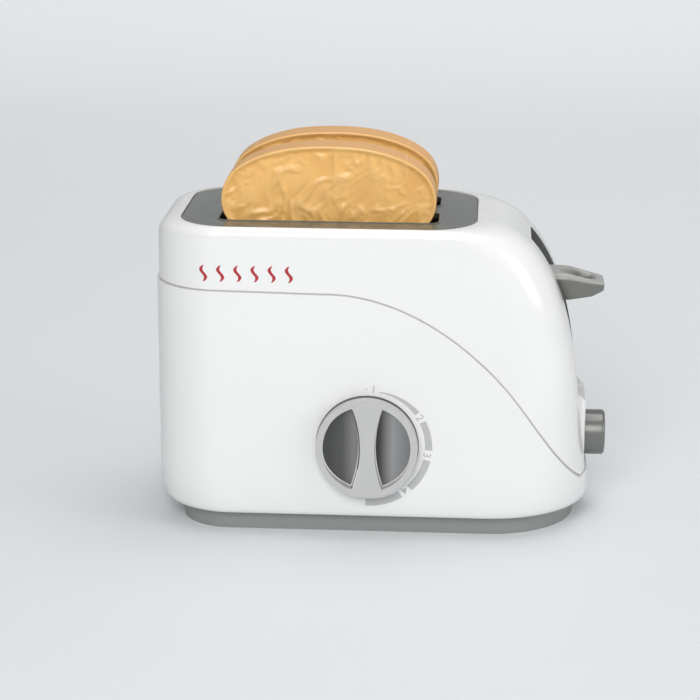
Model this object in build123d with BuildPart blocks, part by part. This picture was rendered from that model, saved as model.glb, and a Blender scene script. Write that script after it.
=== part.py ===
"""Toy pop-up toaster at full size, in millimetres.

+X points to the end with the lever and the release button, -Y to the front with the dial, +Z up.
The origin is on the table, under the middle of the body.
"""

import os
from math import sqrt

from build123d import *

os.makedirs("parts", exist_ok=True)

# ---------------------------------------------------------------- driving dimensions
# Clearances
SLIDE_FIT = 0.08  # radial, shafts and rods in their bores
LOOSE_FIT = 0.3  # between pieces that must not rub
SEAT_FIT = 0.2  # around pieces that drop into a recess

# White body
BODY_TOP = 145.5
BASE_RISE = 9.5  # bottom edge of the body above the table
LEFT_REACH = 101.0
RIGHT_REACH = 101.6  # reach at the bottom edge, the end then leans inward
END_LEAN = 0.12  # inward lean of the right end for each millimetre of height
HALF_DEPTH = 49.0
WALL = 2.2
LEFT_CORNER = 29.0
FOOT_CORNER = 46.0  # plan corner of the right end at the table
SHOULDER_CORNER = 26.0  # plan corner of the right end higher up
SHOULDER_DROP = 72.5  # the sloping shoulder starts this far under the top
SHOULDER_POWER = 2.3  # fullness of the shoulder curve
CORNER_POWER = 1.3  # how fast the foot corner tightens with height
RING = 2.0  # flat white rim beside the top plate, at the lever end
TOP_ROUND = 4.5  # rounding of the long top edges
LEFT_TOP_ROUND = 8.0
LEFT_TUCK = 5.0  # inward curl of the bottom edge at the left end
FRONT_TUCK = 2.0
TUCK_RISE = 14.0

# Lower panel with its flowing edge
PANEL_PROUD = 0.9
SWOOSH_LEFT = 117.0  # height of the edge at the left end
SWOOSH_LEVEL = 115.7  # height of the straight stretch
SWOOSH_BEND = -24.0  # where the straight stretch ends
SWOOSH_CURVE = ((12.5, 108.8), (45.8, 87.8), (63.2, 70.1), (82.0, 43.5))
SWOOSH_END = (97.0, 23.5)
GROOVE_WIDTH = 0.7
GROOVE_DEPTH = 0.4

# Top plate and bread slots
PLATE_FROM_LEFT = 11.0  # left end of the plate in from the left end of the body
PLATE_PAST_SLOT = 17.7  # right end of the plate past the slots
PLATE_MARGIN = 3.8  # long edges of the plate in from the body's faces
PLATE_CORNER = 23.0
PLATE_THICK = 2.0
PLATE_DROP = 0.5  # top of the plate under the white ring
LEDGE_WIDTH = 3.0
LEDGE_THICK = 1.8
SLOT_FROM_PLATE = 17.8  # left end of the slots in from the plate's left end
SLOT_END_ROOM = 1.2  # between a slice and each end of its slot
SLOT_SIDE_ROOM = 2.25
SLOT_BRIDGE = 14.5  # plate between the two slots
SLOT_CORNER = 4.0
RIM_WIDTH = 1.0
RIM_RISE = 0.3
PLATE_BOSS_INSET = 8.5  # boss centres in from the ends of the plate
PLATE_BOSS_SPREAD = 16.0
FLANGE_LAP = 0.6  # how far the well flange reaches under the ledge
FLANGE_THICK = 1.5
WELL_WALL = 1.4
WELL_SPARE = 2.5  # under the shelves at the bottom of their travel

# Bread slices
SLICE_RISE = 33.9  # stands this far out of the body when the shelves are up
SLICE_SINK = 6.1  # ends this far under the plate when they are down
SLICE_HEIGHT = 87.0
SLICE_THICK = 17.8
SLICE_WIDE = 98.6  # width across the lobes
SLICE_TAPER = 4.0  # the foot is this much narrower on each side
SLICE_NECK = 4.2  # and the neck under the lobes this much
SLICE_LOBE = 24.4  # the lobes are this far under the top
NECK_DROP = 12.0  # the neck is this far under the lobes
SLICE_ROUND = 0.7
SLICE_SKIN = 2.0
DOME_SHARES = ((0.69, 0.238), (0.937, 0.61))  # points of the dome, as shares of lobe and drop

# Carriage, rods and springs
SHELF_THICK = 2.5
SHELF_GAP = 1.5  # between the shelf and the ends of its well
ARM_WIDTH = 6.0
ARM_RISE = 8.0
ROD_PAST_SLOT = 8.5
ROD_SPREAD = 16.0
ROD_RADIUS = 2.0
BUSH_RADIUS = 5.0
BUSH_DROP = 8.4  # bush bottom under the shelf top
BUSH_LENGTH = 24.0
SPRING_RADIUS = 4.4
SPRING_WIRE = 0.8
SPRING_TURNS = 13
STEM_DROP = 34.3  # centre of the stem under the top of the body
STEM_HEIGHT = 6.0
STEM_WIDTH = 6.0
TAB_THICK = 3.0
TAB_DROP = 13.0
BARB_REACH = 2.0
BARB_HEIGHT = 4.0

# Frame that holds the rods
FRAME_BOSS = 6.0  # bosses of the base under the frame
FRAME_FOOT = 3.0
FRAME_HALF = 24.0
FRAME_REACH = 9.0  # of the foot past the rods and past the web
ARM_REACH = 5.5  # of the top arm past the rods
WEB_PAST_ROD = 9.6
WEB_THICK = 2.5
FRAME_OVER_STEM = 6.3
ARM_THICK = 3.5
WINDOW_HALF = 7.0
WINDOW_BOTTOM = 30.0
WINDOW_OVER_STEM = 1.8

# Lever, its channel and its guide
CHANNEL_HALF = 13.5
CHANNEL_DEPTH = 30.0  # measured from the body's reach at its foot
CHANNEL_SPARE = 6.7  # under the lever at the bottom of its travel
CHANNEL_WALL = 1.6
GUIDE_THICK = 1.8
GUIDE_HALF = 16.0
GUIDE_UNDER_BUTTON = 6.3
GUIDE_OVER_STEM = 8.0
RAIL_THICK = 1.8
RAIL_SHARE = 0.75  # of the length between the channel's bottom and the guide's top
LEVER_GAP = 2.0  # between the channel's floor and the lever
LEVER_LENGTH = 32.8
LEVER_OVER_STEM = 7.0
LEVER_UNDER_STEM = 7.0
LEVER_RIDGE = 0.85  # share of the height at its widest line
LEVER_CROWN = 0.84  # width at the top, against the widest line
LEVER_KEEL = 0.62  # width at the bottom
# Sections of the lever: distance back from the tip, half width, bottom under and top over the stem
LEVER_SECTIONS = ((16.5, 11.0, 6.9, 6.2), (5.5, 9.9, 5.2, 3.4), (0.0, 9.0, 2.4, 2.0))
LEVER_ROOT_HALF = 11.0
THUMB_RADIUS = 9.5
THUMB_STRETCH = (1.0, 0.85, 0.53)
THUMB_BACK = 12.0  # centre of the thumb hollow back from the tip
THUMB_LIFT = 8.4  # and over the middle of the stem
LEVER_GRIP_DEPTH = 8.0  # how far the stem goes into the lever

# Release button
BUTTON_Z = 37.8
BUTTON_RADIUS = 10.75
BUTTON_PROUD = 9.8  # past the pad
BUTTON_TRAVEL = 3.5
BUTTON_ROUND = 1.6
BUTTON_FLANGE = 1.6  # wider than the button all round
BUTTON_FLANGE_THICK = 1.9
BUTTON_STEM = 3.0
COLLAR_RADIUS = 5.4
COLLAR_LENGTH = 2.5
BUTTON_COIL = 4.2
BUTTON_WIRE = 0.7
BUTTON_TURNS = 6
PAD_SET_IN = 2.4  # behind the body's reach at its foot
PAD_HALF = 16.0
PAD_BOTTOM = 20.0
PAD_OVER_CHANNEL = 3.5  # the pad's chamfered top over the channel's bottom
PAD_CHAMFER = 3.6
PAD_ROUND = 2.0

# Catch spring
CATCH_THICK = 0.8
CATCH_WIDTH = 10.0
CATCH_SEAT = 20.0  # height of its screw
CATCH_HOOK = 1.9

# Dial and rotary switch
DIAL_X = -2.0
DIAL_Z = 44.8
DIAL_RADIUS = 23.4
DIAL_THICK = 6.8
DIAL_RIM = 2.8  # width of the rim beside the scoops
DIAL_ROUND = 1.0
GRIP_WAIST = 7.2
GRIP_END = 15.2
SCOOP_RADIUS = 22.0
SCOOP_DEPTH = 4.8
SCOOP_SHIFT = 8.0
SHAFT_RADIUS = 3.0
SHAFT_IN_DIAL = 1.6
NECK_RADIUS = 5.0
SWITCH_HALF = 13.0
SWITCH_DEEP = 12.0
SWITCH_WALL = 1.5
SWITCH_LUG = 17.0
LUG_THICK = 2.0
DETENT_RADIUS = 9.0
DETENT_THICK = 5.0
DETENT_NOTCH = 1.6
DETENT_COUNT = 12

# Start switch
START_WIDE = 12.0
START_DEEP = 4.5
START_TALL = 12.0
START_CLEAR = 1.0  # between its case and the window of the frame
START_BLADE = 4.0
START_BEND = 3.0  # how far the blade's tip stands over the striker at the bottom
STRIKER_HEIGHT = 4.0

# Base, batteries, sound
BASE_FLOOR = 2.4
BASE_WALL = 2.2
BASE_INSET_TOP = 3.0
BASE_INSET_FLOOR = 5.0
BASE_LIP = 3.5
BOSS_RADIUS = 4.2
BOSS_TOP = 26.0
BASE_BOSS_MARGIN = 13.0  # centres in from the front and rear faces
BASE_BOSS_FROM_LEFT = 46.0
BASE_BOSS_PAST_ROD = 12.7
HEAD_RECESS = 3.0
SPEAKER_FROM_LEFT = 35.0
BATTERY_PAST_SPEAKER = 58.0
BATTERY_RADIUS = 7.15
BATTERY_LENGTH = 50.5
BATTERY_GAP = 0.6
NIB_RADIUS = 2.6
NIB_LENGTH = 1.2
CONTACT_THICK = 0.5
CONTACT_REACH = 1.6
CONTACT_WIDE = 9.3
DIMPLE_FOOT = 3.4
DIMPLE_TIP = 2.4
BOX_WALL = 1.6
BOX_EAR = 6.0  # screw-less lugs at both ends, set on pegs
PEG_RADIUS = 1.4
PEG_SPARE = 1.0  # pegs stand this far out of what they hold
BOX_PEG_INSET = 4.0
COVER_THICK = 1.3
COVER_RECESS = 1.5
COVER_LAP = 3.0
COVER_TONGUE = 12.0
SPEAKER_RADIUS = 20.0
SPEAKER_HEIGHT = 9.0
SPEAKER_MAGNET = 9.0
BOARD_FROM_BATTERY = 5.0  # centre past the centre of the cells
BOARD_FROM_BOX = 3.2
BOARD_LENGTH = 60.0
BOARD_WIDTH = 18.0
BOARD_THICK = 1.6
BOARD_STAND = 3.6
BOARD_PEG_INSET = 3.0
CHIP_RADIUS = 5.5
CHIP_HEIGHT = 1.8
CAPACITOR_RADIUS = 3.0
CAPACITOR_HEIGHT = 7.0
CAPACITORS = (-16.0, 14.0)
RESISTOR_SIZE = (3.2, 1.6, 1.2)
RESISTORS = (-9.0, -4.5, 0.0)
RESISTOR_SHIFT = 6.5

# Fasteners
SCREW_RADIUS = 1.4
PILOT_RADIUS = 1.45
HOLE_RADIUS = 1.6
HEAD_RADIUS = 2.9
HEAD_HEIGHT = 2.0
HEAD_CLEAR = 0.6
POST_FROM_LEFT = 15.0
POST_FROM_RIGHT = 22.0
POST_RADIUS = 4.5
LEFT_POST_LOW = 30.0
RIGHT_POST_LOW = 26.0
LEFT_POST_DROP = 25.5  # upper posts under the top of the body
RIGHT_POST_DROP = 15.5
POST_SEAT = 7.0
SHELL_SCREW = 18.0
BASE_SCREW = 16.0
BASE_BITE = 12.0  # depth of the base screws' pilots
SHORT_SCREW = 4.6
FRAME_SCREW = 9.0
CATCH_SCREW = 7.5

# ---------------------------------------------------------------- derived places
FAR = 3 * HALF_DEPTH  # past everything
PLATE_LEFT = PLATE_FROM_LEFT - LEFT_REACH
PLATE_HALF = HALF_DEPTH - PLATE_MARGIN
SLOT_LEFT = PLATE_LEFT + SLOT_FROM_PLATE
SLOT_LENGTH = SLICE_WIDE + 2 * SLOT_END_ROOM
SLOT_WIDTH = SLICE_THICK + 2 * SLOT_SIDE_ROOM
SLOT_SPACING = SLOT_WIDTH + SLOT_BRIDGE
PLATE_RIGHT = SLOT_LEFT + SLOT_LENGTH + PLATE_PAST_SLOT
TOP_FLAT_END = PLATE_RIGHT + RING
PLATE_TOP = BODY_TOP - PLATE_DROP
PLATE_SEAT = PLATE_TOP - PLATE_THICK
ROOF = PLATE_SEAT - LEDGE_THICK
INNER_FACE = HALF_DEPTH - WALL
PANEL_FACE = HALF_DEPTH + PANEL_PROUD
SLOT_MIDDLE = SLOT_LEFT + SLOT_LENGTH / 2
SLOT_RIGHT = SLOT_LEFT + SLOT_LENGTH
SLOT_SIDES = (-SLOT_SPACING / 2, SLOT_SPACING / 2)
SLICE_TOP = BODY_TOP + SLICE_RISE
TRAVEL = SLICE_RISE + SLICE_SINK
SHELF_TOP = SLICE_TOP - SLICE_HEIGHT
SHELF_BOTTOM = SHELF_TOP - SHELF_THICK
SHELF_WIDTH = SLICE_THICK + SEAT_FIT
WELL_BOTTOM = SHELF_BOTTOM - TRAVEL - WELL_SPARE - WELL_WALL
ROD_X = SLOT_RIGHT + ROD_PAST_SLOT
START_Y = WINDOW_HALF + START_CLEAR + START_WIDE / 2
RODS = ((ROD_X, -ROD_SPREAD), (ROD_X, ROD_SPREAD))
WEB_X = ROD_X + WEB_PAST_ROD
WEB_FACE = WEB_X + WEB_THICK
FRAME_SEAT = BASE_FLOOR + FRAME_BOSS
FOOT_TOP = FRAME_SEAT + FRAME_FOOT
FRAME_LEFT = ROD_X - FRAME_REACH
FRAME_RIGHT = WEB_FACE + FRAME_REACH
ARM_LEFT = ROD_X - ARM_REACH
FRAME_SCREWS = (
    (FRAME_RIGHT - BOSS_RADIUS, FRAME_HALF - BOSS_RADIUS),
    (FRAME_RIGHT - BOSS_RADIUS, BOSS_RADIUS - FRAME_HALF),
    (FRAME_LEFT + BOSS_RADIUS, 0.0),
)
BUSH_BOTTOM = SHELF_TOP - BUSH_DROP
STEM_Z = BODY_TOP - STEM_DROP
STEM_BOTTOM = STEM_Z - STEM_HEIGHT / 2
STEM_TOP = STEM_Z + STEM_HEIGHT / 2
FRAME_TOP = STEM_TOP + FRAME_OVER_STEM + ARM_THICK
WINDOW_TOP = STEM_TOP + WINDOW_OVER_STEM
CHANNEL_FLOOR = RIGHT_REACH - CHANNEL_DEPTH
LEVER_ROOT = CHANNEL_FLOOR + LEVER_GAP
LEVER_TIP = LEVER_ROOT + LEVER_LENGTH
LEVER_BOTTOM = STEM_Z - LEVER_UNDER_STEM
CHANNEL_BOTTOM = LEVER_BOTTOM - TRAVEL - CHANNEL_SPARE
GUIDE_BOTTOM = BUTTON_Z - GUIDE_UNDER_BUTTON
GUIDE_TOP = STEM_TOP + GUIDE_OVER_STEM
STEM_END = LEVER_ROOT + LEVER_GRIP_DEPTH
CATCH_FACE = WEB_FACE + CATCH_THICK
BARB_FACE = CATCH_FACE + 3 * LOOSE_FIT
TAB_FACE = BARB_FACE + BARB_REACH
TAB_BOTTOM = STEM_BOTTOM - TAB_DROP
HOOK_BOTTOM = TAB_BOTTOM + BARB_HEIGHT - TRAVEL + LOOSE_FIT
DIAL_BACK = PANEL_FACE + LOOSE_FIT
DIAL_FACE = DIAL_BACK + DIAL_THICK
SWITCH_FACE = INNER_FACE - SEAT_FIT
SWITCH_BACK_FACE = SWITCH_FACE - SWITCH_DEEP
PAD_REACH = RIGHT_REACH - PAD_SET_IN
PAD_TOP = CHANNEL_BOTTOM + PAD_OVER_CHANNEL
PAD_WALL = RIGHT_REACH - END_LEAN * (BUTTON_Z - BASE_RISE) - WALL
BUTTON_FACE = PAD_REACH + BUTTON_PROUD
FLANGE_FACE = PAD_WALL - LOOSE_FIT
FLANGE_BACK = FLANGE_FACE - BUTTON_FLANGE_THICK
SHELL_POSTS = (
    (POST_FROM_LEFT - LEFT_REACH, LEFT_POST_LOW),
    (POST_FROM_LEFT - LEFT_REACH, BODY_TOP - LEFT_POST_DROP),
    (WEB_FACE + POST_RADIUS + SLOT_END_ROOM, BODY_TOP - RIGHT_POST_DROP),
    (RIGHT_REACH - POST_FROM_RIGHT, RIGHT_POST_LOW),
)
BASE_BOSSES = [
    (end, side)
    for end in (BASE_BOSS_FROM_LEFT - LEFT_REACH, ROD_X + BASE_BOSS_PAST_ROD)
    for side in (HALF_DEPTH - BASE_BOSS_MARGIN, BASE_BOSS_MARGIN - HALF_DEPTH)
]
SPEAKER_X = SPEAKER_FROM_LEFT - LEFT_REACH
BATTERY_X = SPEAKER_X + BATTERY_PAST_SPEAKER
COVER_BOTTOM = COVER_RECESS - COVER_THICK
BATTERY_Z = COVER_RECESS + SEAT_FIT + BATTERY_RADIUS
CELL_LENGTH = BATTERY_LENGTH + 2 * (CONTACT_THICK + CONTACT_REACH)
CELL_WIDTH = 4 * BATTERY_RADIUS + 3 * BATTERY_GAP
BOX_ROOF = BATTERY_Z + BATTERY_RADIUS + SEAT_FIT
CELL_RIGHT = BATTERY_X + CELL_LENGTH / 2
COVER_SCREW_X = CELL_RIGHT + COVER_TONGUE / 2 + COVER_LAP / 2
BOARD_X = BATTERY_X + BOARD_FROM_BATTERY
BOARD_Y = CELL_WIDTH / 2 + BOX_WALL + BOARD_FROM_BOX + BOARD_WIDTH / 2

# Levels of the body's loft, as shares of its height, closer together where it curves
LOFT_LEVELS = (
    0, 0.011, 0.037, 0.09, 0.22, 0.35, 0.46, 0.58, 0.67, 0.74,
    0.80, 0.853, 0.897, 0.93, 0.956, 0.974, 0.987, 0.9956, 1,
)


# ---------------------------------------------------------------- shared shapes
def quarter_curl(share):
    """Falls along a quarter circle from 1 at share 1 to 0 at share 0."""
    share = min(max(share, 0.0), 1.0)
    return 1 - sqrt(1 - share**2)


def body_section(height, grow, roof, level=None):
    """Plan outline of the body at a height, moved outward by grow, under a given roof."""
    shoulder_foot = BODY_TOP - SHOULDER_DROP
    lean_line = RIGHT_REACH - END_LEAN * (height - BASE_RISE)
    shoulder_run = RIGHT_REACH - END_LEAN * (roof - BASE_RISE) - TOP_FLAT_END
    climb = min(max((height - shoulder_foot) / (roof - shoulder_foot), 0.0), 1.0)
    swell = (1 - climb**SHOULDER_POWER) ** (1 / SHOULDER_POWER)
    fall = min(max((shoulder_foot - height) / (shoulder_foot - BASE_RISE), 0.0), 1.0)
    tuck = quarter_curl(1 - (height - BASE_RISE) / TUCK_RISE)
    front_round = TOP_ROUND + min(grow, 0)
    left_round = LEFT_TOP_ROUND + min(grow, 0)
    front_curl = front_round * quarter_curl(1 - (roof - height) / front_round)
    left_curl = left_round * quarter_curl(1 - (roof - height) / left_round)
    half = HALF_DEPTH + grow - front_curl - FRONT_TUCK * tuck
    left = -LEFT_REACH - grow + left_curl + LEFT_TUCK * tuck
    right = lean_line - shoulder_run * (1 - swell) - FRONT_TUCK * tuck + grow
    right_corner = SHOULDER_CORNER + (FOOT_CORNER - SHOULDER_CORNER) * fall**CORNER_POWER
    right_corner = min(right_corner + grow, half - 0.5)
    left_corner = LEFT_CORNER + grow - left_curl / 2
    corners = ((left, -half), (right, -half), (right, half), (left, half))
    radii = (left_corner, right_corner, right_corner, left_corner)
    with BuildSketch(Plane.XY.offset(height if level is None else level)) as section:
        with BuildLine():
            FilletPolyline(*corners, radius=radii, close=True)
        make_face()
    return section.sketch


def body_solid(grow, roof, floor=BASE_RISE):
    """The body's outside, moved outward by grow, from floor up to roof."""
    levels = [BASE_RISE + share * (roof - BASE_RISE) for share in LOFT_LEVELS]
    if floor < BASE_RISE:
        levels.insert(0, floor)
    with BuildPart() as solid:
        loft([body_section(level, grow, roof) for level in levels])
    return solid.part


def plate_outline(grow):
    """Outline of the top plate, moved outward by grow."""
    left = PLATE_LEFT - grow
    right = PLATE_RIGHT + grow
    half = PLATE_HALF + grow
    corners = ((left, -half), (right, -half), (right, half), (left, half))
    with BuildSketch() as outline:
        with BuildLine():
            FilletPolyline(*corners, radius=PLATE_CORNER + grow, close=True)
        make_face()
    return outline.sketch


def slot_outlines(grow):
    """Both bread slots, moved outward by grow."""
    with BuildSketch() as outlines:
        with Locations(*[(SLOT_MIDDLE, side) for side in SLOT_SIDES]):
            RectangleRounded(SLOT_LENGTH + 2 * grow, SLOT_WIDTH + 2 * grow, SLOT_CORNER + grow)
    return outlines.sketch


def screw(length):
    """Self-tapping screw: head above the XY plane, shank below it, cross slot in the head."""
    with BuildPart() as shape:
        with Locations((0, 0, HEAD_HEIGHT / 2)):
            Cylinder(HEAD_RADIUS, HEAD_HEIGHT)
        fillet(shape.edges().sort_by(Axis.Z)[-1], HEAD_HEIGHT * 0.4)
        with Locations((0, 0, HEAD_HEIGHT)):
            Box(HEAD_RADIUS, HEAD_HEIGHT * 0.3, HEAD_HEIGHT, mode=Mode.SUBTRACT)
            Box(HEAD_HEIGHT * 0.3, HEAD_RADIUS, HEAD_HEIGHT, mode=Mode.SUBTRACT)
        with Locations((0, 0, -length / 2)):
            Cylinder(SCREW_RADIUS, length)
        chamfer(shape.edges().sort_by(Axis.Z)[0], SCREW_RADIUS * 0.6)
    return shape.part


def coil(length, turns, radius, wire):
    """Helical spring that stands on the XY plane."""
    with BuildPart() as spring:
        with BuildLine(Plane.XY.offset(wire / 2)) as path:
            Helix(pitch=(length - wire) / turns, height=length - wire, radius=radius)
        with BuildSketch(Plane(origin=path.line @ 0, z_dir=path.line % 0)):
            Circle(wire / 2)
        sweep(is_frenet=True)
    return spring.part


def save(piece, name):
    """Label a finished piece and write it to its own file."""
    piece.part.label = name
    export_step(piece.part, f"parts/{name}.step")


# ---------------------------------------------------------------- white body, before its split
with BuildPart() as lower_panel:
    add(body_solid(PANEL_PROUD, BODY_TOP))
    with BuildSketch(Plane.XZ):
        with BuildLine():
            edge = Polyline(
                (-LEFT_REACH - FAR, BASE_RISE), (-LEFT_REACH - FAR, SWOOSH_LEFT),
                (-LEFT_REACH, SWOOSH_LEFT), (SWOOSH_BEND, SWOOSH_LEVEL),
            )
            sweep_line = Spline(edge @ 1, *SWOOSH_CURVE, SWOOSH_END)
            Polyline(
                sweep_line @ 1, (RIGHT_REACH + FAR, SWOOSH_END[1]), (RIGHT_REACH + FAR, BASE_RISE),
                (-LEFT_REACH - FAR, BASE_RISE),
            )
        make_face()
    extrude(amount=FAR, both=True, mode=Mode.INTERSECT)

with BuildPart() as groove:
    with BuildSketch(Plane.XZ):
        with BuildLine() as seam:
            straight = Line((-LEFT_REACH - WALL, SWOOSH_LEFT), (SWOOSH_BEND, SWOOSH_LEVEL))
            bend = Spline(straight @ 1, *SWOOSH_CURVE, SWOOSH_END)
            Line(bend @ 1, (RIGHT_REACH + WALL, SWOOSH_END[1]))
        trace(seam.line, GROOVE_WIDTH)
    extrude(amount=FAR, both=True)
    add(body_solid(-GROOVE_DEPTH, BODY_TOP), mode=Mode.SUBTRACT)

with BuildPart() as button_pad:
    with Locations((PAD_REACH / 2, 0, (PAD_TOP + PAD_BOTTOM) / 2)):
        Box(PAD_REACH, 2 * PAD_HALF, PAD_TOP - PAD_BOTTOM)
    chamfer(button_pad.faces().sort_by(Axis.Z)[-1].edges().sort_by(Axis.X)[-1], PAD_CHAMFER)
    fillet(button_pad.edges().filter_by(Axis.Z).group_by(Axis.X)[-1], PAD_ROUND)

# Everything moulded on the inside, trimmed to the middle of the wall
with BuildPart() as fittings:
    with BuildSketch(Plane.XZ):
        with Locations(*SHELL_POSTS):
            Circle(POST_RADIUS)
    extrude(amount=HALF_DEPTH, both=True)
    with BuildSketch(Plane.XY.offset(BASE_RISE)):
        with Locations(*BASE_BOSSES):
            Circle(BOSS_RADIUS)
    extrude(amount=BOSS_TOP - BASE_RISE)
    rib_bottom = BASE_RISE + BASE_LIP + LOOSE_FIT
    for boss_x, boss_y in BASE_BOSSES:
        rib_middle = (boss_y + HALF_DEPTH * boss_y / abs(boss_y)) / 2
        with Locations((boss_x, rib_middle, (rib_bottom + BOSS_TOP) / 2)):
            Box(WALL, HALF_DEPTH - abs(boss_y), BOSS_TOP - rib_bottom)
    with Locations((CHANNEL_FLOOR, 0, CHANNEL_BOTTOM - CHANNEL_WALL)):
        Box(
            PAD_REACH - CHANNEL_FLOOR, 2 * (CHANNEL_HALF + CHANNEL_WALL), BODY_TOP,
            align=(Align.MIN, Align.CENTER, Align.MIN),
        )
    rail_middle = (CHANNEL_BOTTOM + GUIDE_TOP) / 2
    rail_length = (GUIDE_TOP - CHANNEL_BOTTOM) * RAIL_SHARE
    rail_outside = GUIDE_HALF + SEAT_FIT + RAIL_THICK
    guide_back = CHANNEL_FLOOR - GUIDE_THICK - SEAT_FIT
    with Locations((CHANNEL_FLOOR + RAIL_THICK / 2, 0, rail_middle)):
        Box(RAIL_THICK, 2 * rail_outside, rail_length)
    for side in (-1, 1):
        with Locations((guide_back, side * (rail_outside - RAIL_THICK / 2), rail_middle)):
            Box(
                CHANNEL_FLOOR - guide_back, RAIL_THICK, rail_length,
                align=(Align.MIN, Align.CENTER, Align.CENTER),
            )
        with Locations((guide_back, side * (rail_outside - RAIL_THICK), rail_middle)):
            Box(
                RAIL_THICK, 2 * RAIL_THICK, rail_length,
                align=(Align.MAX, Align.CENTER, Align.CENTER),
            )
    add(body_solid(-WALL / 2, BODY_TOP - WALL / 2), mode=Mode.INTERSECT)

with BuildPart() as body:
    add(body_solid(0, BODY_TOP))
    add(lower_panel.part)
    add(button_pad.part)
    add(groove.part, mode=Mode.SUBTRACT)
    add(body_solid(-WALL, ROOF, BASE_RISE - WALL), mode=Mode.SUBTRACT)
    add(fittings.part)
    # recess and opening for the top plate
    with BuildSketch(Plane.XY.offset(PLATE_SEAT)):
        add(plate_outline(SEAT_FIT))
    extrude(amount=FAR, mode=Mode.SUBTRACT)
    with BuildSketch(Plane.XY.offset(ROOF - WALL)):
        add(plate_outline(-LEDGE_WIDTH))
    extrude(amount=FAR, mode=Mode.SUBTRACT)
    # lever channel
    with Locations((CHANNEL_FLOOR, 0, CHANNEL_BOTTOM)):
        Box(
            FAR, 2 * CHANNEL_HALF, FAR,
            align=(Align.MIN, Align.CENTER, Align.MIN), mode=Mode.SUBTRACT,
        )
    # button hole
    with BuildSketch(Plane.YZ.offset(CHANNEL_FLOOR + RAIL_THICK)):
        with Locations((0, BUTTON_Z)):
            Circle(BUTTON_RADIUS + LOOSE_FIT)
    extrude(amount=FAR, mode=Mode.SUBTRACT)
    with BuildSketch(Plane.YZ.offset(FLANGE_BACK - BUTTON_TRAVEL)):
        with Locations((0, BUTTON_Z)):
            Circle(BUTTON_RADIUS + BUTTON_FLANGE + LOOSE_FIT)
    extrude(amount=BUTTON_TRAVEL + BUTTON_FLANGE_THICK + LOOSE_FIT, mode=Mode.SUBTRACT)
    # dial neck hole and switch screw bosses
    with BuildSketch(Plane.XZ.offset(INNER_FACE - LUG_THICK)):
        with Locations(*[(DIAL_X + side, DIAL_Z) for side in (-SWITCH_LUG, SWITCH_LUG)]):
            Circle(HEAD_RADIUS)
    extrude(amount=LUG_THICK + PANEL_PROUD)
    with BuildSketch(Plane.XZ.offset(INNER_FACE - LUG_THICK)):
        with Locations((DIAL_X, DIAL_Z)):
            Circle(NECK_RADIUS + SEAT_FIT)
    extrude(amount=FAR, mode=Mode.SUBTRACT)
    with BuildSketch(Plane.XZ.offset(INNER_FACE - LUG_THICK)):
        with Locations(*[(DIAL_X + side, DIAL_Z) for side in (-SWITCH_LUG, SWITCH_LUG)]):
            Circle(PILOT_RADIUS)
    extrude(amount=SHORT_SCREW, mode=Mode.SUBTRACT)
    # post holes: pilots in front, clearance and head recess behind
    with BuildSketch(Plane.XZ):
        with Locations(*SHELL_POSTS):
            Circle(PILOT_RADIUS)
    extrude(amount=SHELL_SCREW - POST_SEAT + PEG_SPARE, mode=Mode.SUBTRACT)
    with BuildSketch(Plane.XZ):
        with Locations(*SHELL_POSTS):
            Circle(HOLE_RADIUS)
    extrude(amount=-FAR, mode=Mode.SUBTRACT)
    with BuildSketch(Plane.XZ.offset(-POST_SEAT)):
        with Locations(*SHELL_POSTS):
            Circle(HEAD_RADIUS + HEAD_CLEAR)
    extrude(amount=-FAR, mode=Mode.SUBTRACT)
    # pilots for the base screws
    with BuildSketch(Plane.XY.offset(BASE_RISE)):
        with Locations(*BASE_BOSSES):
            Circle(PILOT_RADIUS)
    extrude(amount=BASE_BITE, mode=Mode.SUBTRACT)

with BuildPart() as front_shell:
    add(body.part)
    split(bisect_by=Plane.XZ, keep=Keep.TOP)
save(front_shell, "front_shell")

with BuildPart() as rear_shell:
    add(body.part)
    split(bisect_by=Plane.XZ, keep=Keep.BOTTOM)
save(rear_shell, "rear_shell")

# ---------------------------------------------------------------- top plate
plate_bosses = [
    (end, side)
    for end in (PLATE_LEFT + PLATE_BOSS_INSET, PLATE_RIGHT - PLATE_BOSS_INSET)
    for side in (-PLATE_BOSS_SPREAD, PLATE_BOSS_SPREAD)
]

with BuildPart() as top_plate:
    with BuildSketch(Plane.XY.offset(PLATE_SEAT)):
        add(plate_outline(0))
    extrude(amount=PLATE_THICK)
    fillet(top_plate.faces().sort_by(Axis.Z)[-1].edges(), PLATE_THICK * 0.2)
    with BuildSketch(Plane.XY.offset(PLATE_TOP)):
        add(slot_outlines(RIM_WIDTH))
    extrude(amount=RIM_RISE)
    with BuildSketch(Plane.XY.offset(ROOF)):
        with Locations(*plate_bosses):
            Circle(HEAD_RADIUS)
    extrude(amount=LEDGE_THICK)
    with BuildSketch(Plane.XY.offset(PLATE_SEAT)):
        add(slot_outlines(0))
    extrude(amount=FAR, mode=Mode.SUBTRACT)
    with BuildSketch(Plane.XY.offset(ROOF)):
        with Locations(*plate_bosses):
            Circle(PILOT_RADIUS)
    extrude(amount=SHORT_SCREW - FLANGE_THICK, mode=Mode.SUBTRACT)
    fillet(top_plate.faces().filter_by(Axis.Z).sort_by(Axis.Z)[-2:].edges(), RIM_RISE * 0.4)
save(top_plate, "top_plate")

with BuildPart() as plate_screws:
    with Locations(*[Location((x, y, ROOF - FLANGE_THICK), (180, 0, 0)) for x, y in plate_bosses]):
        add(screw(SHORT_SCREW))
save(plate_screws, "plate_screws")

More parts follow.
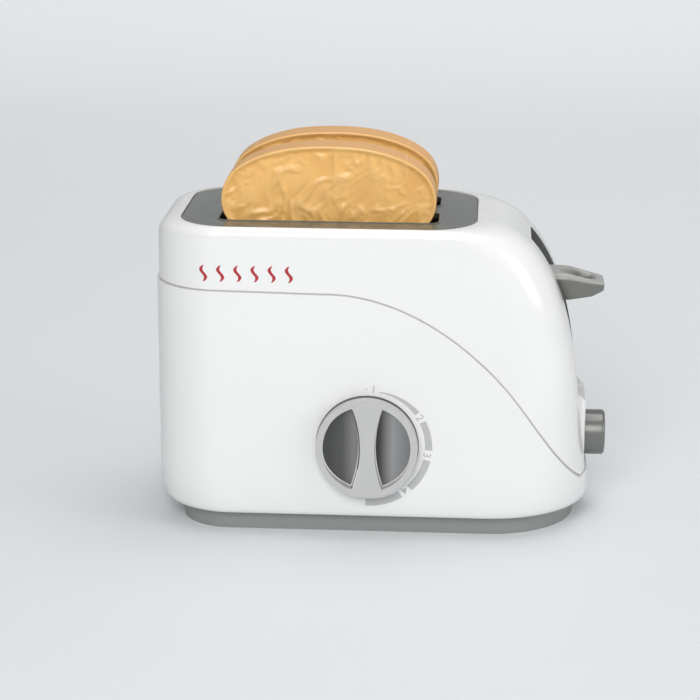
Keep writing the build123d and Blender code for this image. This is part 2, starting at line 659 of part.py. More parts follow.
# ---------------------------------------------------------------- bread wells
with BuildPart() as bread_wells:
    with BuildSketch(Plane.XY.offset(ROOF - FLANGE_THICK)):
        add(plate_outline(FLANGE_LAP - LEDGE_WIDTH))
    extrude(amount=FLANGE_THICK)
    add(body_solid(-WALL - SEAT_FIT, ROOF), mode=Mode.INTERSECT)
    with BuildSketch(Plane.XY.offset(WELL_BOTTOM)):
        add(slot_outlines(WELL_WALL))
    extrude(amount=PLATE_SEAT - WELL_BOTTOM)
    with BuildSketch(Plane.XY.offset(WELL_BOTTOM + WELL_WALL)):
        add(slot_outlines(0))
    extrude(amount=FAR, mode=Mode.SUBTRACT)
    slit_bottom = SHELF_BOTTOM - TRAVEL - LOOSE_FIT
    slit_top = SHELF_TOP + ARM_RISE + LOOSE_FIT
    for side in SLOT_SIDES:
        with Locations((SLOT_RIGHT + WELL_WALL / 2, side, (slit_bottom + slit_top) / 2)):
            Box(3 * WELL_WALL, ARM_WIDTH + 4 * LOOSE_FIT, slit_top - slit_bottom, mode=Mode.SUBTRACT)
    with BuildSketch(Plane.XY.offset(ROOF - FLANGE_THICK)):
        with Locations(*plate_bosses):
            Circle(HOLE_RADIUS)
    extrude(amount=FLANGE_THICK, mode=Mode.SUBTRACT)
save(bread_wells, "bread_wells")

# ---------------------------------------------------------------- bread slices
def slice_outline(inset):
    """Face of a bread slice, moved inward by inset."""
    lobe = SLICE_WIDE / 2 - inset
    top = SLICE_TOP - inset
    lobe_z = SLICE_TOP - SLICE_LOBE
    right_half = [
        (SLOT_MIDDLE + share * lobe, top - drop * (top - lobe_z)) for share, drop in DOME_SHARES
    ]
    right_half.append((SLOT_MIDDLE + lobe, lobe_z))
    right_half.append((SLOT_MIDDLE + lobe - SLICE_NECK, lobe_z - NECK_DROP))
    right_half_foot = (SLOT_MIDDLE + lobe - SLICE_TAPER, SHELF_TOP + inset)
    left_half = [(2 * SLOT_MIDDLE - x, z) for x, z in reversed(right_half)]
    left_half_foot = (2 * SLOT_MIDDLE - right_half_foot[0], SHELF_TOP + inset)
    with BuildSketch() as outline:
        with BuildLine():
            dome = Spline(*left_half, (SLOT_MIDDLE, top), *right_half)
            Polyline(dome @ 1, right_half_foot, left_half_foot, dome @ 0)
        make_face()
    return outline.sketch


for slice_name, side in zip(("bread_slice_front", "bread_slice_rear"), SLOT_SIDES):
    with BuildPart() as bread_slice:
        with BuildSketch(Plane.XZ.offset(-side)):
            add(slice_outline(0))
        extrude(amount=SLICE_THICK / 2, both=True)
        fillet(bread_slice.faces().filter_by(Axis.Y).edges(), SLICE_ROUND)
        # the slices are hollow
        with BuildSketch(Plane.XZ.offset(-side)):
            add(slice_outline(SLICE_SKIN))
        extrude(amount=SLICE_THICK / 2 - SLICE_SKIN, both=True, mode=Mode.SUBTRACT)
    save(bread_slice, slice_name)

# ---------------------------------------------------------------- carriage with shelves and stem
with BuildPart() as carriage:
    shelf_length = SLOT_LENGTH - 2 * SHELF_GAP
    for side in SLOT_SIDES:
        with Locations((SLOT_MIDDLE, side, SHELF_TOP - SHELF_THICK / 2)):
            Box(shelf_length, SHELF_WIDTH, SHELF_THICK)
        with Locations((SLOT_RIGHT - 2 * SHELF_GAP, side, SHELF_BOTTOM)):
            Box(
                ROD_X - SLOT_RIGHT + 2 * SHELF_GAP, ARM_WIDTH, SHELF_THICK,
                align=(Align.MIN, Align.CENTER, Align.MIN),
            )
        with Locations((SLOT_RIGHT + WELL_WALL / 2, side, SHELF_TOP)):
            Box(
                ROD_X - SLOT_RIGHT - WELL_WALL / 2, ARM_WIDTH, ARM_RISE,
                align=(Align.MIN, Align.CENTER, Align.MIN),
            )
    with BuildSketch(Plane.XY.offset(BUSH_BOTTOM)):
        with Locations(*RODS):
            Circle(BUSH_RADIUS)
    extrude(amount=BUSH_LENGTH)
    with Locations((ROD_X, 0, SHELF_TOP + ARM_RISE / 2)):
        Box(STEM_WIDTH, 2 * ROD_SPREAD, ARM_RISE)
    with Locations((ROD_X, 0, SHELF_TOP)):
        Box(STEM_WIDTH, STEM_WIDTH, STEM_TOP - SHELF_TOP, align=(Align.CENTER, Align.CENTER, Align.MIN))
    with Locations((ROD_X, 0, STEM_Z)):
        Box(STEM_END - ROD_X, STEM_WIDTH, STEM_HEIGHT, align=(Align.MIN, Align.CENTER, Align.CENTER))
    with Locations((TAB_FACE, 0, TAB_BOTTOM)):
        Box(TAB_THICK, STEM_WIDTH, TAB_DROP, align=(Align.MIN, Align.CENTER, Align.MIN))
    with Locations((BARB_FACE, 0, TAB_BOTTOM)):
        Box(BARB_REACH, STEM_WIDTH, BARB_HEIGHT, align=(Align.MIN, Align.CENTER, Align.MIN))
    # striker that bends the blade of the start switch
    with Locations((ROD_X, START_Y, BUSH_BOTTOM)):
        Box(
            WEB_X - LOOSE_FIT - ROD_X, START_WIDE / 3, STRIKER_HEIGHT,
            align=(Align.MIN, Align.CENTER, Align.MIN),
        )
    with BuildSketch(Plane.XY.offset(BUSH_BOTTOM)):
        with Locations(*RODS):
            Circle(ROD_RADIUS + SLIDE_FIT)
    extrude(amount=BUSH_LENGTH, mode=Mode.SUBTRACT)
save(carriage, "carriage")

with BuildPart() as guide_rods:
    with BuildSketch(Plane.XY.offset(FRAME_SEAT)):
        with Locations(*RODS):
            Circle(ROD_RADIUS)
    extrude(amount=FRAME_TOP - FRAME_SEAT)
save(guide_rods, "guide_rods")

lift_coil = coil(
    BUSH_BOTTOM - FOOT_TOP - 2 * SEAT_FIT, SPRING_TURNS, SPRING_RADIUS, SPRING_WIRE
)
with BuildPart() as lift_springs:
    with Locations(*[(x, y, FOOT_TOP + SEAT_FIT) for x, y in RODS]):
        add(lift_coil)
save(lift_springs, "lift_springs")

# ---------------------------------------------------------------- frame for the rods
with BuildPart() as lift_frame:
    with Locations((FRAME_LEFT, 0, FRAME_SEAT)):
        Box(
            FRAME_RIGHT - FRAME_LEFT, 2 * FRAME_HALF, FRAME_FOOT,
            align=(Align.MIN, Align.CENTER, Align.MIN),
        )
    with Locations((WEB_X, 0, FRAME_SEAT)):
        Box(
            WEB_THICK, 2 * FRAME_HALF, FRAME_TOP - FRAME_SEAT,
            align=(Align.MIN, Align.CENTER, Align.MIN),
        )
    with Locations((ARM_LEFT, 0, FRAME_TOP)):
        Box(
            WEB_FACE - ARM_LEFT, 2 * FRAME_HALF, ARM_THICK,
            align=(Align.MIN, Align.CENTER, Align.MAX),
        )
    # side ribs under the arm and on the foot
    for side in (-1, 1):
        with BuildSketch(Plane.XZ.offset(side * (FRAME_HALF - WEB_THICK / 2))):
            with BuildLine():
                Polyline(
                    (WEB_X, FRAME_TOP - ARM_THICK), (ARM_LEFT, FRAME_TOP - ARM_THICK),
                    (WEB_X, FRAME_TOP - ARM_THICK - (WEB_X - ARM_LEFT)), close=True,
                )
            make_face()
            with BuildLine():
                Polyline(
                    (WEB_X, FOOT_TOP), (FRAME_LEFT, FOOT_TOP),
                    (WEB_X, FOOT_TOP + WEB_X - FRAME_LEFT), close=True,
                )
            make_face()
        extrude(amount=WEB_THICK / 2, both=True)
    with BuildSketch(Plane.YZ.offset(WEB_X)):
        with Locations((0, CATCH_SEAT)):
            Circle(HEAD_RADIUS)
    extrude(amount=-CATCH_SCREW)
    with Locations((WEB_X, 0, WINDOW_BOTTOM)):
        Box(
            3 * WEB_THICK, 2 * WINDOW_HALF, WINDOW_TOP - WINDOW_BOTTOM,
            align=(Align.CENTER, Align.CENTER, Align.MIN), mode=Mode.SUBTRACT,
        )
    with BuildSketch(Plane.XY.offset(FRAME_SEAT)):
        with Locations(*RODS):
            Circle(ROD_RADIUS)
    extrude(amount=FAR, mode=Mode.SUBTRACT)
    with BuildSketch(Plane.XY.offset(FRAME_SEAT)):
        with Locations(*FRAME_SCREWS):
            Circle(HOLE_RADIUS)
    extrude(amount=FRAME_FOOT, mode=Mode.SUBTRACT)
    with BuildSketch(Plane.YZ.offset(WEB_FACE)):
        with Locations((0, CATCH_SEAT)):
            Circle(PILOT_RADIUS)
    extrude(amount=-CATCH_SCREW, mode=Mode.SUBTRACT)
save(lift_frame, "lift_frame")

with BuildPart() as frame_screws:
    with Locations(*[(x, y, FOOT_TOP) for x, y in FRAME_SCREWS]):
        add(screw(FRAME_SCREW))
save(frame_screws, "frame_screws")

# ---------------------------------------------------------------- catch spring and its screw
with BuildPart() as catch_spring:
    catch_foot = FOOT_TOP + LOOSE_FIT
    with Locations((WEB_FACE, 0, catch_foot)):
        Box(
            CATCH_THICK, CATCH_WIDTH, HOOK_BOTTOM + CATCH_HOOK - catch_foot,
            align=(Align.MIN, Align.CENTER, Align.MIN),
        )
    with Locations((CATCH_FACE, 0, HOOK_BOTTOM)):
        Box(
            TAB_FACE - LOOSE_FIT - CATCH_FACE, CATCH_WIDTH, CATCH_HOOK,
            align=(Align.MIN, Align.CENTER, Align.MIN),
        )
    hook_edges = catch_spring.edges().filter_by(Axis.Y).group_by(Axis.X)[-1]
    chamfer(hook_edges.sort_by(Axis.Z)[-1], CATCH_HOOK * 0.6)
    with BuildSketch(Plane.YZ.offset(WEB_FACE)):
        with Locations((0, CATCH_SEAT)):
            Circle(HOLE_RADIUS)
    extrude(amount=CATCH_THICK, mode=Mode.SUBTRACT)
save(catch_spring, "catch_spring")

with BuildPart() as catch_screw:
    with Locations(Location((CATCH_FACE, 0, CATCH_SEAT), (0, 90, 0))):
        add(screw(CATCH_SCREW))
save(catch_screw, "catch_screw")

# ---------------------------------------------------------------- lever guide and lever
with BuildPart() as lever_guide:
    with Locations((CHANNEL_FLOOR, 0, GUIDE_BOTTOM)):
        Box(
            GUIDE_THICK, 2 * GUIDE_HALF, GUIDE_TOP - GUIDE_BOTTOM,
            align=(Align.MAX, Align.CENTER, Align.MIN),
        )
    with BuildSketch(Plane.YZ.offset(CHANNEL_FLOOR)):
        with Locations((0, BUTTON_Z)):
            Circle(COLLAR_RADIUS)
    extrude(amount=COLLAR_LENGTH)
    lever_slit_bottom = STEM_BOTTOM - TRAVEL - 2 * LOOSE_FIT
    lever_slit_top = STEM_TOP + 2 * LOOSE_FIT
    with Locations((CHANNEL_FLOOR, 0, (lever_slit_bottom + lever_slit_top) / 2)):
        Box(
            4 * GUIDE_THICK, STEM_WIDTH + 4 * LOOSE_FIT, lever_slit_top - lever_slit_bottom,
            mode=Mode.SUBTRACT,
        )
    with BuildSketch(Plane.YZ.offset(CHANNEL_FLOOR - GUIDE_THICK)):
        with Locations((0, BUTTON_Z)):
            Circle(BUTTON_STEM + SLIDE_FIT)
    extrude(amount=FAR, mode=Mode.SUBTRACT)
    add(body_solid(-WALL - SEAT_FIT, ROOF), mode=Mode.INTERSECT)
save(lever_guide, "lever_guide")

thumb_hollow = scale(Sphere(THUMB_RADIUS), by=THUMB_STRETCH)
lever_sections = [(LEVER_LENGTH, LEVER_ROOT_HALF, LEVER_UNDER_STEM, LEVER_OVER_STEM)]
lever_sections += LEVER_SECTIONS

with BuildPart() as lever_knob:
    for back, half, under, over in lever_sections:
        low, high = STEM_Z - under, STEM_Z + over
        ridge = low + (high - low) * LEVER_RIDGE
        with BuildSketch(Plane.YZ.offset(LEVER_TIP - back)):
            with BuildLine():
                Polyline(
                    (-half * LEVER_CROWN, high), (half * LEVER_CROWN, high), (half, ridge),
                    (half * LEVER_KEEL, low), (-half * LEVER_KEEL, low), (-half, ridge),
                    close=True,
                )
            make_face()
    loft(ruled=True)
    with Locations((LEVER_TIP - THUMB_BACK, 0, STEM_Z + THUMB_LIFT)):
        add(thumb_hollow, mode=Mode.SUBTRACT)
    with Locations((LEVER_ROOT, 0, STEM_Z)):
        Box(
            LEVER_GRIP_DEPTH, STEM_WIDTH, STEM_HEIGHT,
            align=(Align.MIN, Align.CENTER, Align.CENTER), mode=Mode.SUBTRACT,
        )
save(lever_knob, "lever_knob")

# ---------------------------------------------------------------- release button and its spring
with BuildPart() as release_button:
    with BuildSketch(Plane.YZ.offset(FLANGE_BACK)):
        with Locations((0, BUTTON_Z)):
            Circle(BUTTON_RADIUS + BUTTON_FLANGE)
    extrude(amount=BUTTON_FLANGE_THICK)
    with BuildSketch(Plane.YZ.offset(FLANGE_BACK)):
        with Locations((0, BUTTON_Z)):
            Circle(BUTTON_RADIUS)
    extrude(amount=BUTTON_FACE - FLANGE_BACK)
    fillet(release_button.edges().sort_by(Axis.X)[-1], BUTTON_ROUND)
    stem_end = CATCH_FACE + 2 * LOOSE_FIT
    with BuildSketch(Plane.YZ.offset(stem_end)):
        with Locations((0, BUTTON_Z)):
            Circle(BUTTON_STEM)
    extrude(amount=BUTTON_FACE - BUTTON_ROUND - stem_end)
save(release_button, "release_button")

button_coil_length = FLANGE_BACK - CHANNEL_FLOOR - COLLAR_LENGTH - 2 * SEAT_FIT
with BuildPart() as button_spring:
    with Locations(Location((CHANNEL_FLOOR + COLLAR_LENGTH + SEAT_FIT, 0, BUTTON_Z), (0, 90, 0))):
        add(coil(button_coil_length, BUTTON_TURNS, BUTTON_COIL, BUTTON_WIRE))
save(button_spring, "button_spring")

# ---------------------------------------------------------------- dial
scoops = []
for side in (-1, 1):
    with BuildPart() as scoop:
        with BuildSketch(Plane.XZ.offset(DIAL_FACE)):
            with Locations((DIAL_X, DIAL_Z)):
                Circle(DIAL_RADIUS - DIAL_RIM)
            with BuildLine():
                inner = DIAL_X + side * GRIP_WAIST / 2
                outer = DIAL_X + side * GRIP_END / 2
                reach = DIAL_RADIUS - DIAL_RIM
                far = DIAL_X - side * 2 * DIAL_RADIUS
                grip_edge = ThreePointArc(
                    (outer, DIAL_Z - reach), (inner, DIAL_Z), (outer, DIAL_Z + reach)
                )
                Polyline(
                    grip_edge @ 1, (outer, DIAL_Z + 2 * reach), (far, DIAL_Z + 2 * reach),
                    (far, DIAL_Z - 2 * reach), (outer, DIAL_Z - 2 * reach), grip_edge @ 0,
                )
            make_face(mode=Mode.SUBTRACT)
        extrude(amount=-SCOOP_DEPTH)
        scoop_axis = SCOOP_RADIUS - SCOOP_DEPTH
        with Locations((DIAL_X + side * SCOOP_SHIFT, -DIAL_FACE - scoop_axis, DIAL_Z)):
            Cylinder(SCOOP_RADIUS, 2 * DIAL_RADIUS, mode=Mode.INTERSECT)
    scoops.append(scoop.part)

with BuildPart() as dial_knob:
    with BuildSketch(Plane.XZ.offset(DIAL_BACK)):
        with Locations((DIAL_X, DIAL_Z)):
            Circle(DIAL_RADIUS)
    extrude(amount=DIAL_THICK)
    for scoop_part in scoops:
        add(scoop_part, mode=Mode.SUBTRACT)
    circles = dial_knob.edges().filter_by(GeomType.CIRCLE)
    fillet(circles.sort_by(SortBy.RADIUS)[-2:].sort_by(Axis.Y)[0], DIAL_ROUND)
    with BuildSketch(Plane.XZ.offset(DIAL_BACK)):
        with Locations((DIAL_X, DIAL_Z)):
            Circle(SHAFT_RADIUS)
    extrude(amount=SHAFT_IN_DIAL, mode=Mode.SUBTRACT)
save(dial_knob, "dial_knob")

shaft_tail = SWITCH_BACK_FACE + LOOSE_FIT
with BuildPart() as dial_shaft:
    with BuildSketch(Plane.XZ.offset(shaft_tail)):
        with Locations((DIAL_X, DIAL_Z)):
            Circle(SHAFT_RADIUS)
    extrude(amount=DIAL_BACK + SHAFT_IN_DIAL - shaft_tail)
save(dial_shaft, "dial_shaft")

detent_front = SWITCH_FACE - SWITCH_WALL - 2 * LOOSE_FIT
with BuildPart() as detent_wheel:
    with BuildSketch(Plane.XZ.offset(detent_front - DETENT_THICK)):
        with Locations((DIAL_X, DIAL_Z)):
            Circle(DETENT_RADIUS)
            Circle(SHAFT_RADIUS, mode=Mode.SUBTRACT)
            with PolarLocations(DETENT_RADIUS + LOOSE_FIT, DETENT_COUNT, start_angle=90):
                Circle(DETENT_NOTCH, mode=Mode.SUBTRACT)
    extrude(amount=DETENT_THICK)
save(detent_wheel, "detent_wheel")

switch_room = SWITCH_HALF - SWITCH_WALL
with BuildPart() as detent_spring:
    with BuildSketch(Plane.XZ.offset(detent_front - DETENT_THICK + LOOSE_FIT)):
        with Locations((DIAL_X, DIAL_Z + DETENT_RADIUS + DETENT_NOTCH)):
            Rectangle(2 * switch_room, CATCH_THICK)
        with Locations((DIAL_X, DIAL_Z + DETENT_RADIUS + LOOSE_FIT)):
            Circle(DETENT_NOTCH - LOOSE_FIT)
    extrude(amount=DETENT_THICK - 2 * LOOSE_FIT)
save(detent_spring, "detent_spring")

with BuildPart() as switch_housing:
    with BuildSketch(Plane.XZ.offset(SWITCH_BACK_FACE)):
        with Locations((DIAL_X, DIAL_Z)):
            Rectangle(2 * SWITCH_HALF, 2 * SWITCH_HALF)
    extrude(amount=SWITCH_DEEP)
    with BuildSketch(Plane.XZ.offset(INNER_FACE - 2 * LUG_THICK)):
        with Locations((DIAL_X, DIAL_Z)):
            SlotCenterToCenter(2 * SWITCH_LUG, 2 * HEAD_RADIUS)
    extrude(amount=LUG_THICK)
    with BuildSketch(Plane.XZ.offset(SWITCH_BACK_FACE)):
        with Locations((DIAL_X, DIAL_Z)):
            Rectangle(2 * switch_room, 2 * switch_room)
    extrude(amount=SWITCH_DEEP - SWITCH_WALL, mode=Mode.SUBTRACT)
    with BuildSketch(Plane.XZ.offset(SWITCH_FACE)):
        with Locations((DIAL_X, DIAL_Z)):
            Circle(NECK_RADIUS)
    extrude(amount=PANEL_FACE - SWITCH_FACE)
    with BuildSketch(Plane.XZ.offset(SWITCH_BACK_FACE)):
        with Locations((DIAL_X, DIAL_Z)):
            Circle(SHAFT_RADIUS + SLIDE_FIT)
        with Locations(*[(DIAL_X + side, DIAL_Z) for side in (-SWITCH_LUG, SWITCH_LUG)]):
            Circle(HOLE_RADIUS)
    extrude(amount=FAR, mode=Mode.SUBTRACT)
save(switch_housing, "switch_housing")

with BuildPart() as switch_back:
    with BuildSketch(Plane.XZ.offset(SWITCH_BACK_FACE - SWITCH_WALL)):
        with Locations((DIAL_X, DIAL_Z)):
            Rectangle(2 * SWITCH_HALF, 2 * SWITCH_HALF)
    extrude(amount=SWITCH_WALL)
save(switch_back, "switch_back")

with BuildPart() as switch_screws:
    lug_face = -(INNER_FACE - 2 * LUG_THICK)
    with Locations(*[
        Location((DIAL_X + side, lug_face, DIAL_Z), (-90, 0, 0)) for side in (-SWITCH_LUG, SWITCH_LUG)
    ]):
        add(screw(SHORT_SCREW))
save(switch_screws, "switch_screws")

# ---------------------------------------------------------------- start switch under the carriage
start_top = BUSH_BOTTOM - TRAVEL - START_BLADE
with BuildPart() as start_switch:
    with Locations((WEB_X, START_Y, start_top)):
        Box(START_DEEP, START_WIDE, START_TALL, align=(Align.MAX, Align.CENTER, Align.MAX))
save(start_switch, "start_switch")

with BuildPart() as start_contact:
    with Locations((WEB_X - START_DEEP / 2, START_Y, start_top)):
        Box(
            CONTACT_THICK, START_WIDE / 3, START_BLADE + START_BEND,
            align=(Align.CENTER, Align.CENTER, Align.MIN),
        )
save(start_contact, "start_contact")

# ---------------------------------------------------------------- base tray
board_pegs = [
    (BOARD_X + x * (BOARD_LENGTH / 2 - BOARD_PEG_INSET),
     BOARD_Y + y * (BOARD_WIDTH / 2 - BOARD_PEG_INSET))
    for x in (-1, 1)
    for y in (-1, 1)
]
box_pegs = [
    (BATTERY_X + x * (CELL_LENGTH / 2 + BOX_WALL + BOX_EAR / 2),
     y * (CELL_WIDTH / 2 - BOX_PEG_INSET))
    for x in (-1, 1)
    for y in (-1, 1)
]

with BuildPart() as base_tray:
    loft([
        body_section(BASE_RISE, -BASE_INSET_FLOOR, BODY_TOP, level=0),
        body_section(BASE_RISE, -BASE_INSET_TOP, BODY_TOP, level=BASE_RISE),
    ], ruled=True)
    with BuildSketch(Plane.XY.offset(BASE_RISE)):
        add(body_section(BASE_RISE, -BASE_INSET_TOP, BODY_TOP, level=0))
    extrude(amount=BASE_LIP)
    with BuildSketch(Plane.XY.offset(BASE_FLOOR)):
        add(body_section(BASE_RISE, -BASE_INSET_FLOOR - BASE_WALL, BODY_TOP, level=0))
    extrude(amount=FAR, mode=Mode.SUBTRACT)
    with BuildSketch(Plane.XY.offset(BASE_FLOOR)):
        with Locations(*BASE_BOSSES):
            Circle(BOSS_RADIUS)
    extrude(amount=BASE_RISE - BASE_FLOOR)
    with BuildSketch(Plane.XY.offset(BASE_FLOOR)):
        with Locations(*FRAME_SCREWS):
            Circle(BOSS_RADIUS)
    extrude(amount=FRAME_BOSS)
    with BuildSketch(Plane.XY.offset(BASE_FLOOR)):
        with Locations(*board_pegs):
            Circle(PEG_RADIUS + PEG_SPARE)
        with Locations((SPEAKER_X, 0)):
            Circle(SPEAKER_RADIUS + SEAT_FIT + BOX_WALL)
            Circle(SPEAKER_RADIUS + SEAT_FIT, mode=Mode.SUBTRACT)
    extrude(amount=BOARD_STAND)
    with BuildSketch(Plane.XY.offset(BASE_FLOOR)):
        with Locations(*board_pegs):
            Circle(PEG_RADIUS)
    extrude(amount=BOARD_STAND + BOARD_THICK + PEG_SPARE)
    with BuildSketch(Plane.XY.offset(BASE_FLOOR)):
        with Locations(*box_pegs):
            Circle(PEG_RADIUS)
    extrude(amount=BOX_WALL + PEG_SPARE)
    with BuildSketch(Plane.XY.offset(BASE_FLOOR)):
        with Locations((COVER_SCREW_X, 0)):
            Circle(HEAD_RADIUS)
    extrude(amount=FRAME_BOSS)
    # battery opening and the recess of its cover
    with BuildSketch():
        with Locations((BATTERY_X, 0)):
            Rectangle(CELL_LENGTH, CELL_WIDTH)
    extrude(amount=FAR, mode=Mode.SUBTRACT)
    with BuildSketch():
        cover_left = BATTERY_X - CELL_LENGTH / 2 - COVER_LAP - SEAT_FIT
        cover_right = CELL_RIGHT + COVER_TONGUE + SEAT_FIT
        with Locations(((cover_left + cover_right) / 2, 0)):
            RectangleRounded(
                cover_right - cover_left, CELL_WIDTH + 2 * (COVER_LAP + SEAT_FIT), COVER_LAP
            )
    extrude(amount=COVER_RECESS, mode=Mode.SUBTRACT)
    with BuildSketch():
        with Locations((COVER_SCREW_X, 0)):
            Circle(PILOT_RADIUS)
    extrude(amount=FRAME_BOSS, mode=Mode.SUBTRACT)
    # screw holes from below, frame pilots from above, sound holes
    with BuildSketch():
        with Locations(*BASE_BOSSES):
            Circle(HEAD_RADIUS + HEAD_CLEAR)
    extrude(amount=HEAD_RECESS, mode=Mode.SUBTRACT)
    with BuildSketch():
        with Locations(*BASE_BOSSES):
            Circle(HOLE_RADIUS)
    extrude(amount=BASE_RISE, mode=Mode.SUBTRACT)
    with BuildSketch(Plane.XY.offset(FRAME_SEAT)):
        with Locations(*FRAME_SCREWS):
            Circle(PILOT_RADIUS)
    extrude(amount=-(FRAME_SCREW - FRAME_FOOT), mode=Mode.SUBTRACT)
    with BuildSketch():
        with Locations((SPEAKER_X, 0)):
            Circle(PEG_RADIUS)
            for ring in (1, 2):
                with PolarLocations(ring * SPEAKER_RADIUS / 3, 6 * ring):
                    Circle(PEG_RADIUS)
    extrude(amount=BASE_FLOOR, mode=Mode.SUBTRACT)
save(base_tray, "base_tray")

with BuildPart() as base_screws:
    with Locations(*[Location((x, y, HEAD_RECESS), (180, 0, 0)) for x, y in BASE_BOSSES]):
        add(screw(BASE_SCREW))
save(base_screws, "base_screws")

with BuildPart() as shell_screws:
    with Locations(*[Location((x, POST_SEAT, z), (-90, 0, 0)) for x, z in SHELL_POSTS]):
        add(screw(SHELL_SCREW))
save(shell_screws, "shell_screws")

# ---------------------------------------------------------------- batteries
cell_sides = [side * (BATTERY_RADIUS + BATTERY_GAP / 2) for side in (-1, 1)]

with BuildPart() as battery_box:
    box_length = CELL_LENGTH + 2 * BOX_WALL
    with BuildSketch(Plane.XY.offset(BASE_FLOOR)):
        with Locations((BATTERY_X, 0)):
            Rectangle(box_length, CELL_WIDTH + 2 * BOX_WALL)
    extrude(amount=BOX_ROOF + BOX_WALL - BASE_FLOOR)
    with BuildSketch(Plane.XY.offset(BASE_FLOOR)):
        with Locations((BATTERY_X, 0)):
            Rectangle(box_length + 2 * BOX_EAR, CELL_WIDTH)
        with Locations((COVER_SCREW_X, 0)):
            Circle(HEAD_RADIUS + SEAT_FIT, mode=Mode.SUBTRACT)
        with Locations(*box_pegs):
            Circle(PEG_RADIUS + SLIDE_FIT, mode=Mode.SUBTRACT)
    extrude(amount=BOX_WALL)
    with BuildSketch(Plane.XY.offset(BASE_FLOOR)):
        with Locations((BATTERY_X, 0)):
            Rectangle(CELL_LENGTH, CELL_WIDTH)
    extrude(amount=BOX_ROOF - BASE_FLOOR, mode=Mode.SUBTRACT)
save(battery_box, "battery_box")

with BuildPart() as batteries:
    with BuildSketch(Plane.YZ.offset(BATTERY_X - BATTERY_LENGTH / 2)):
        with Locations(*[(side, BATTERY_Z) for side in cell_sides]):
            Circle(BATTERY_RADIUS)
    extrude(amount=BATTERY_LENGTH - NIB_LENGTH)
    with BuildSketch(Plane.YZ.offset(BATTERY_X + BATTERY_LENGTH / 2 - NIB_LENGTH)):
        with Locations(*[(side, BATTERY_Z) for side in cell_sides]):
            Circle(NIB_RADIUS)
    extrude(amount=NIB_LENGTH)
save(batteries, "batteries")

with BuildPart() as battery_contacts:
    for end in (-1, 1):
        for side in cell_sides:
            with Locations((BATTERY_X + end * (CELL_LENGTH - CONTACT_THICK) / 2, side, BATTERY_Z)):
                Box(CONTACT_THICK, CONTACT_WIDE, CONTACT_WIDE)
            start = BATTERY_X + end * (CELL_LENGTH / 2 - CONTACT_THICK)
            with Locations(Location((start, side, BATTERY_Z), (0, -90 * end, 0))):
                Cone(
                    DIMPLE_FOOT, DIMPLE_TIP, CONTACT_REACH,
                    align=(Align.CENTER, Align.CENTER, Align.MIN),
                )
save(battery_contacts, "battery_contacts")

with BuildPart() as battery_cover:
    with BuildSketch(Plane.XY.offset(COVER_BOTTOM)):
        with Locations(((cover_left + cover_right) / 2, 0)):
            RectangleRounded(
                cover_right - cover_left - 2 * SEAT_FIT, CELL_WIDTH + 2 * COVER_LAP,
                COVER_LAP - SEAT_FIT,
            )
    extrude(amount=COVER_THICK)
    with BuildSketch(Plane.XY.offset(COVER_BOTTOM)):
        with Locations((COVER_SCREW_X, 0)):
            Circle(HOLE_RADIUS)
    extrude(amount=COVER_THICK, mode=Mode.SUBTRACT)
    with BuildSketch(Plane.XY.offset(COVER_BOTTOM)):
        with Locations((COVER_SCREW_X, 0)):
            Circle(HEAD_RADIUS)
    extrude(amount=COVER_THICK * 0.4, mode=Mode.SUBTRACT)
save(battery_cover, "battery_cover")

with BuildPart() as battery_cover_screw:
    with BuildSketch(Plane.XY.offset(COVER_BOTTOM)):
        with Locations((COVER_SCREW_X, 0)):
            Circle(HEAD_RADIUS - SEAT_FIT)
    extrude(amount=COVER_THICK * 0.4)
    with BuildSketch(Plane.XY.offset(COVER_BOTTOM)):
        with Locations((COVER_SCREW_X, 0)):
            Circle(SCREW_RADIUS)
    extrude(amount=SHORT_SCREW)
save(battery_cover_screw, "battery_cover_screw")

# ---------------------------------------------------------------- speaker and circuit board
with BuildPart() as speaker:
    with BuildSketch(Plane.XZ):
        with BuildLine():
            Polyline(
                (SPEAKER_X, BASE_FLOOR), (SPEAKER_X + SPEAKER_RADIUS, BASE_FLOOR),
                (SPEAKER_X + SPEAKER_RADIUS, BASE_FLOOR + BOX_WALL),
                (SPEAKER_X + SPEAKER_MAGNET + BOX_WALL, BASE_FLOOR + SPEAKER_HEIGHT / 2),
                (SPEAKER_X + SPEAKER_MAGNET, BASE_FLOOR + SPEAKER_HEIGHT / 2),
                (SPEAKER_X + SPEAKER_MAGNET, BASE_FLOOR + SPEAKER_HEIGHT),
                (SPEAKER_X, BASE_FLOOR + SPEAKER_HEIGHT), close=True,
            )
        make_face()
    revolve(axis=Axis((SPEAKER_X, 0, 0), (0, 0, 1)))
save(speaker, "speaker")

board_top = BASE_FLOOR + BOARD_STAND + BOARD_THICK
with BuildPart() as circuit_board:
    with BuildSketch(Plane.XY.offset(BASE_FLOOR + BOARD_STAND)):
        with Locations((BOARD_X, BOARD_Y)):
            Rectangle(BOARD_LENGTH, BOARD_WIDTH)
        with Locations(*board_pegs):
            Circle(PEG_RADIUS + SLIDE_FIT, mode=Mode.SUBTRACT)
    extrude(amount=BOARD_THICK)
save(circuit_board, "circuit_board")

with BuildPart() as board_components:
    with Locations((BOARD_X, BOARD_Y, board_top)):
        Cylinder(CHIP_RADIUS, CHIP_HEIGHT, align=(Align.CENTER, Align.CENTER, Align.MIN))
    with Locations(*[(BOARD_X + x, BOARD_Y, board_top) for x in CAPACITORS]):
        Cylinder(
            CAPACITOR_RADIUS, CAPACITOR_HEIGHT, align=(Align.CENTER, Align.CENTER, Align.MIN)
        )
    with Locations(*[(BOARD_X + x, BOARD_Y - RESISTOR_SHIFT, board_top) for x in RESISTORS]):
        Box(*RESISTOR_SIZE, align=(Align.CENTER, Align.CENTER, Align.MIN))
save(board_components, "board_components")
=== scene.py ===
import math

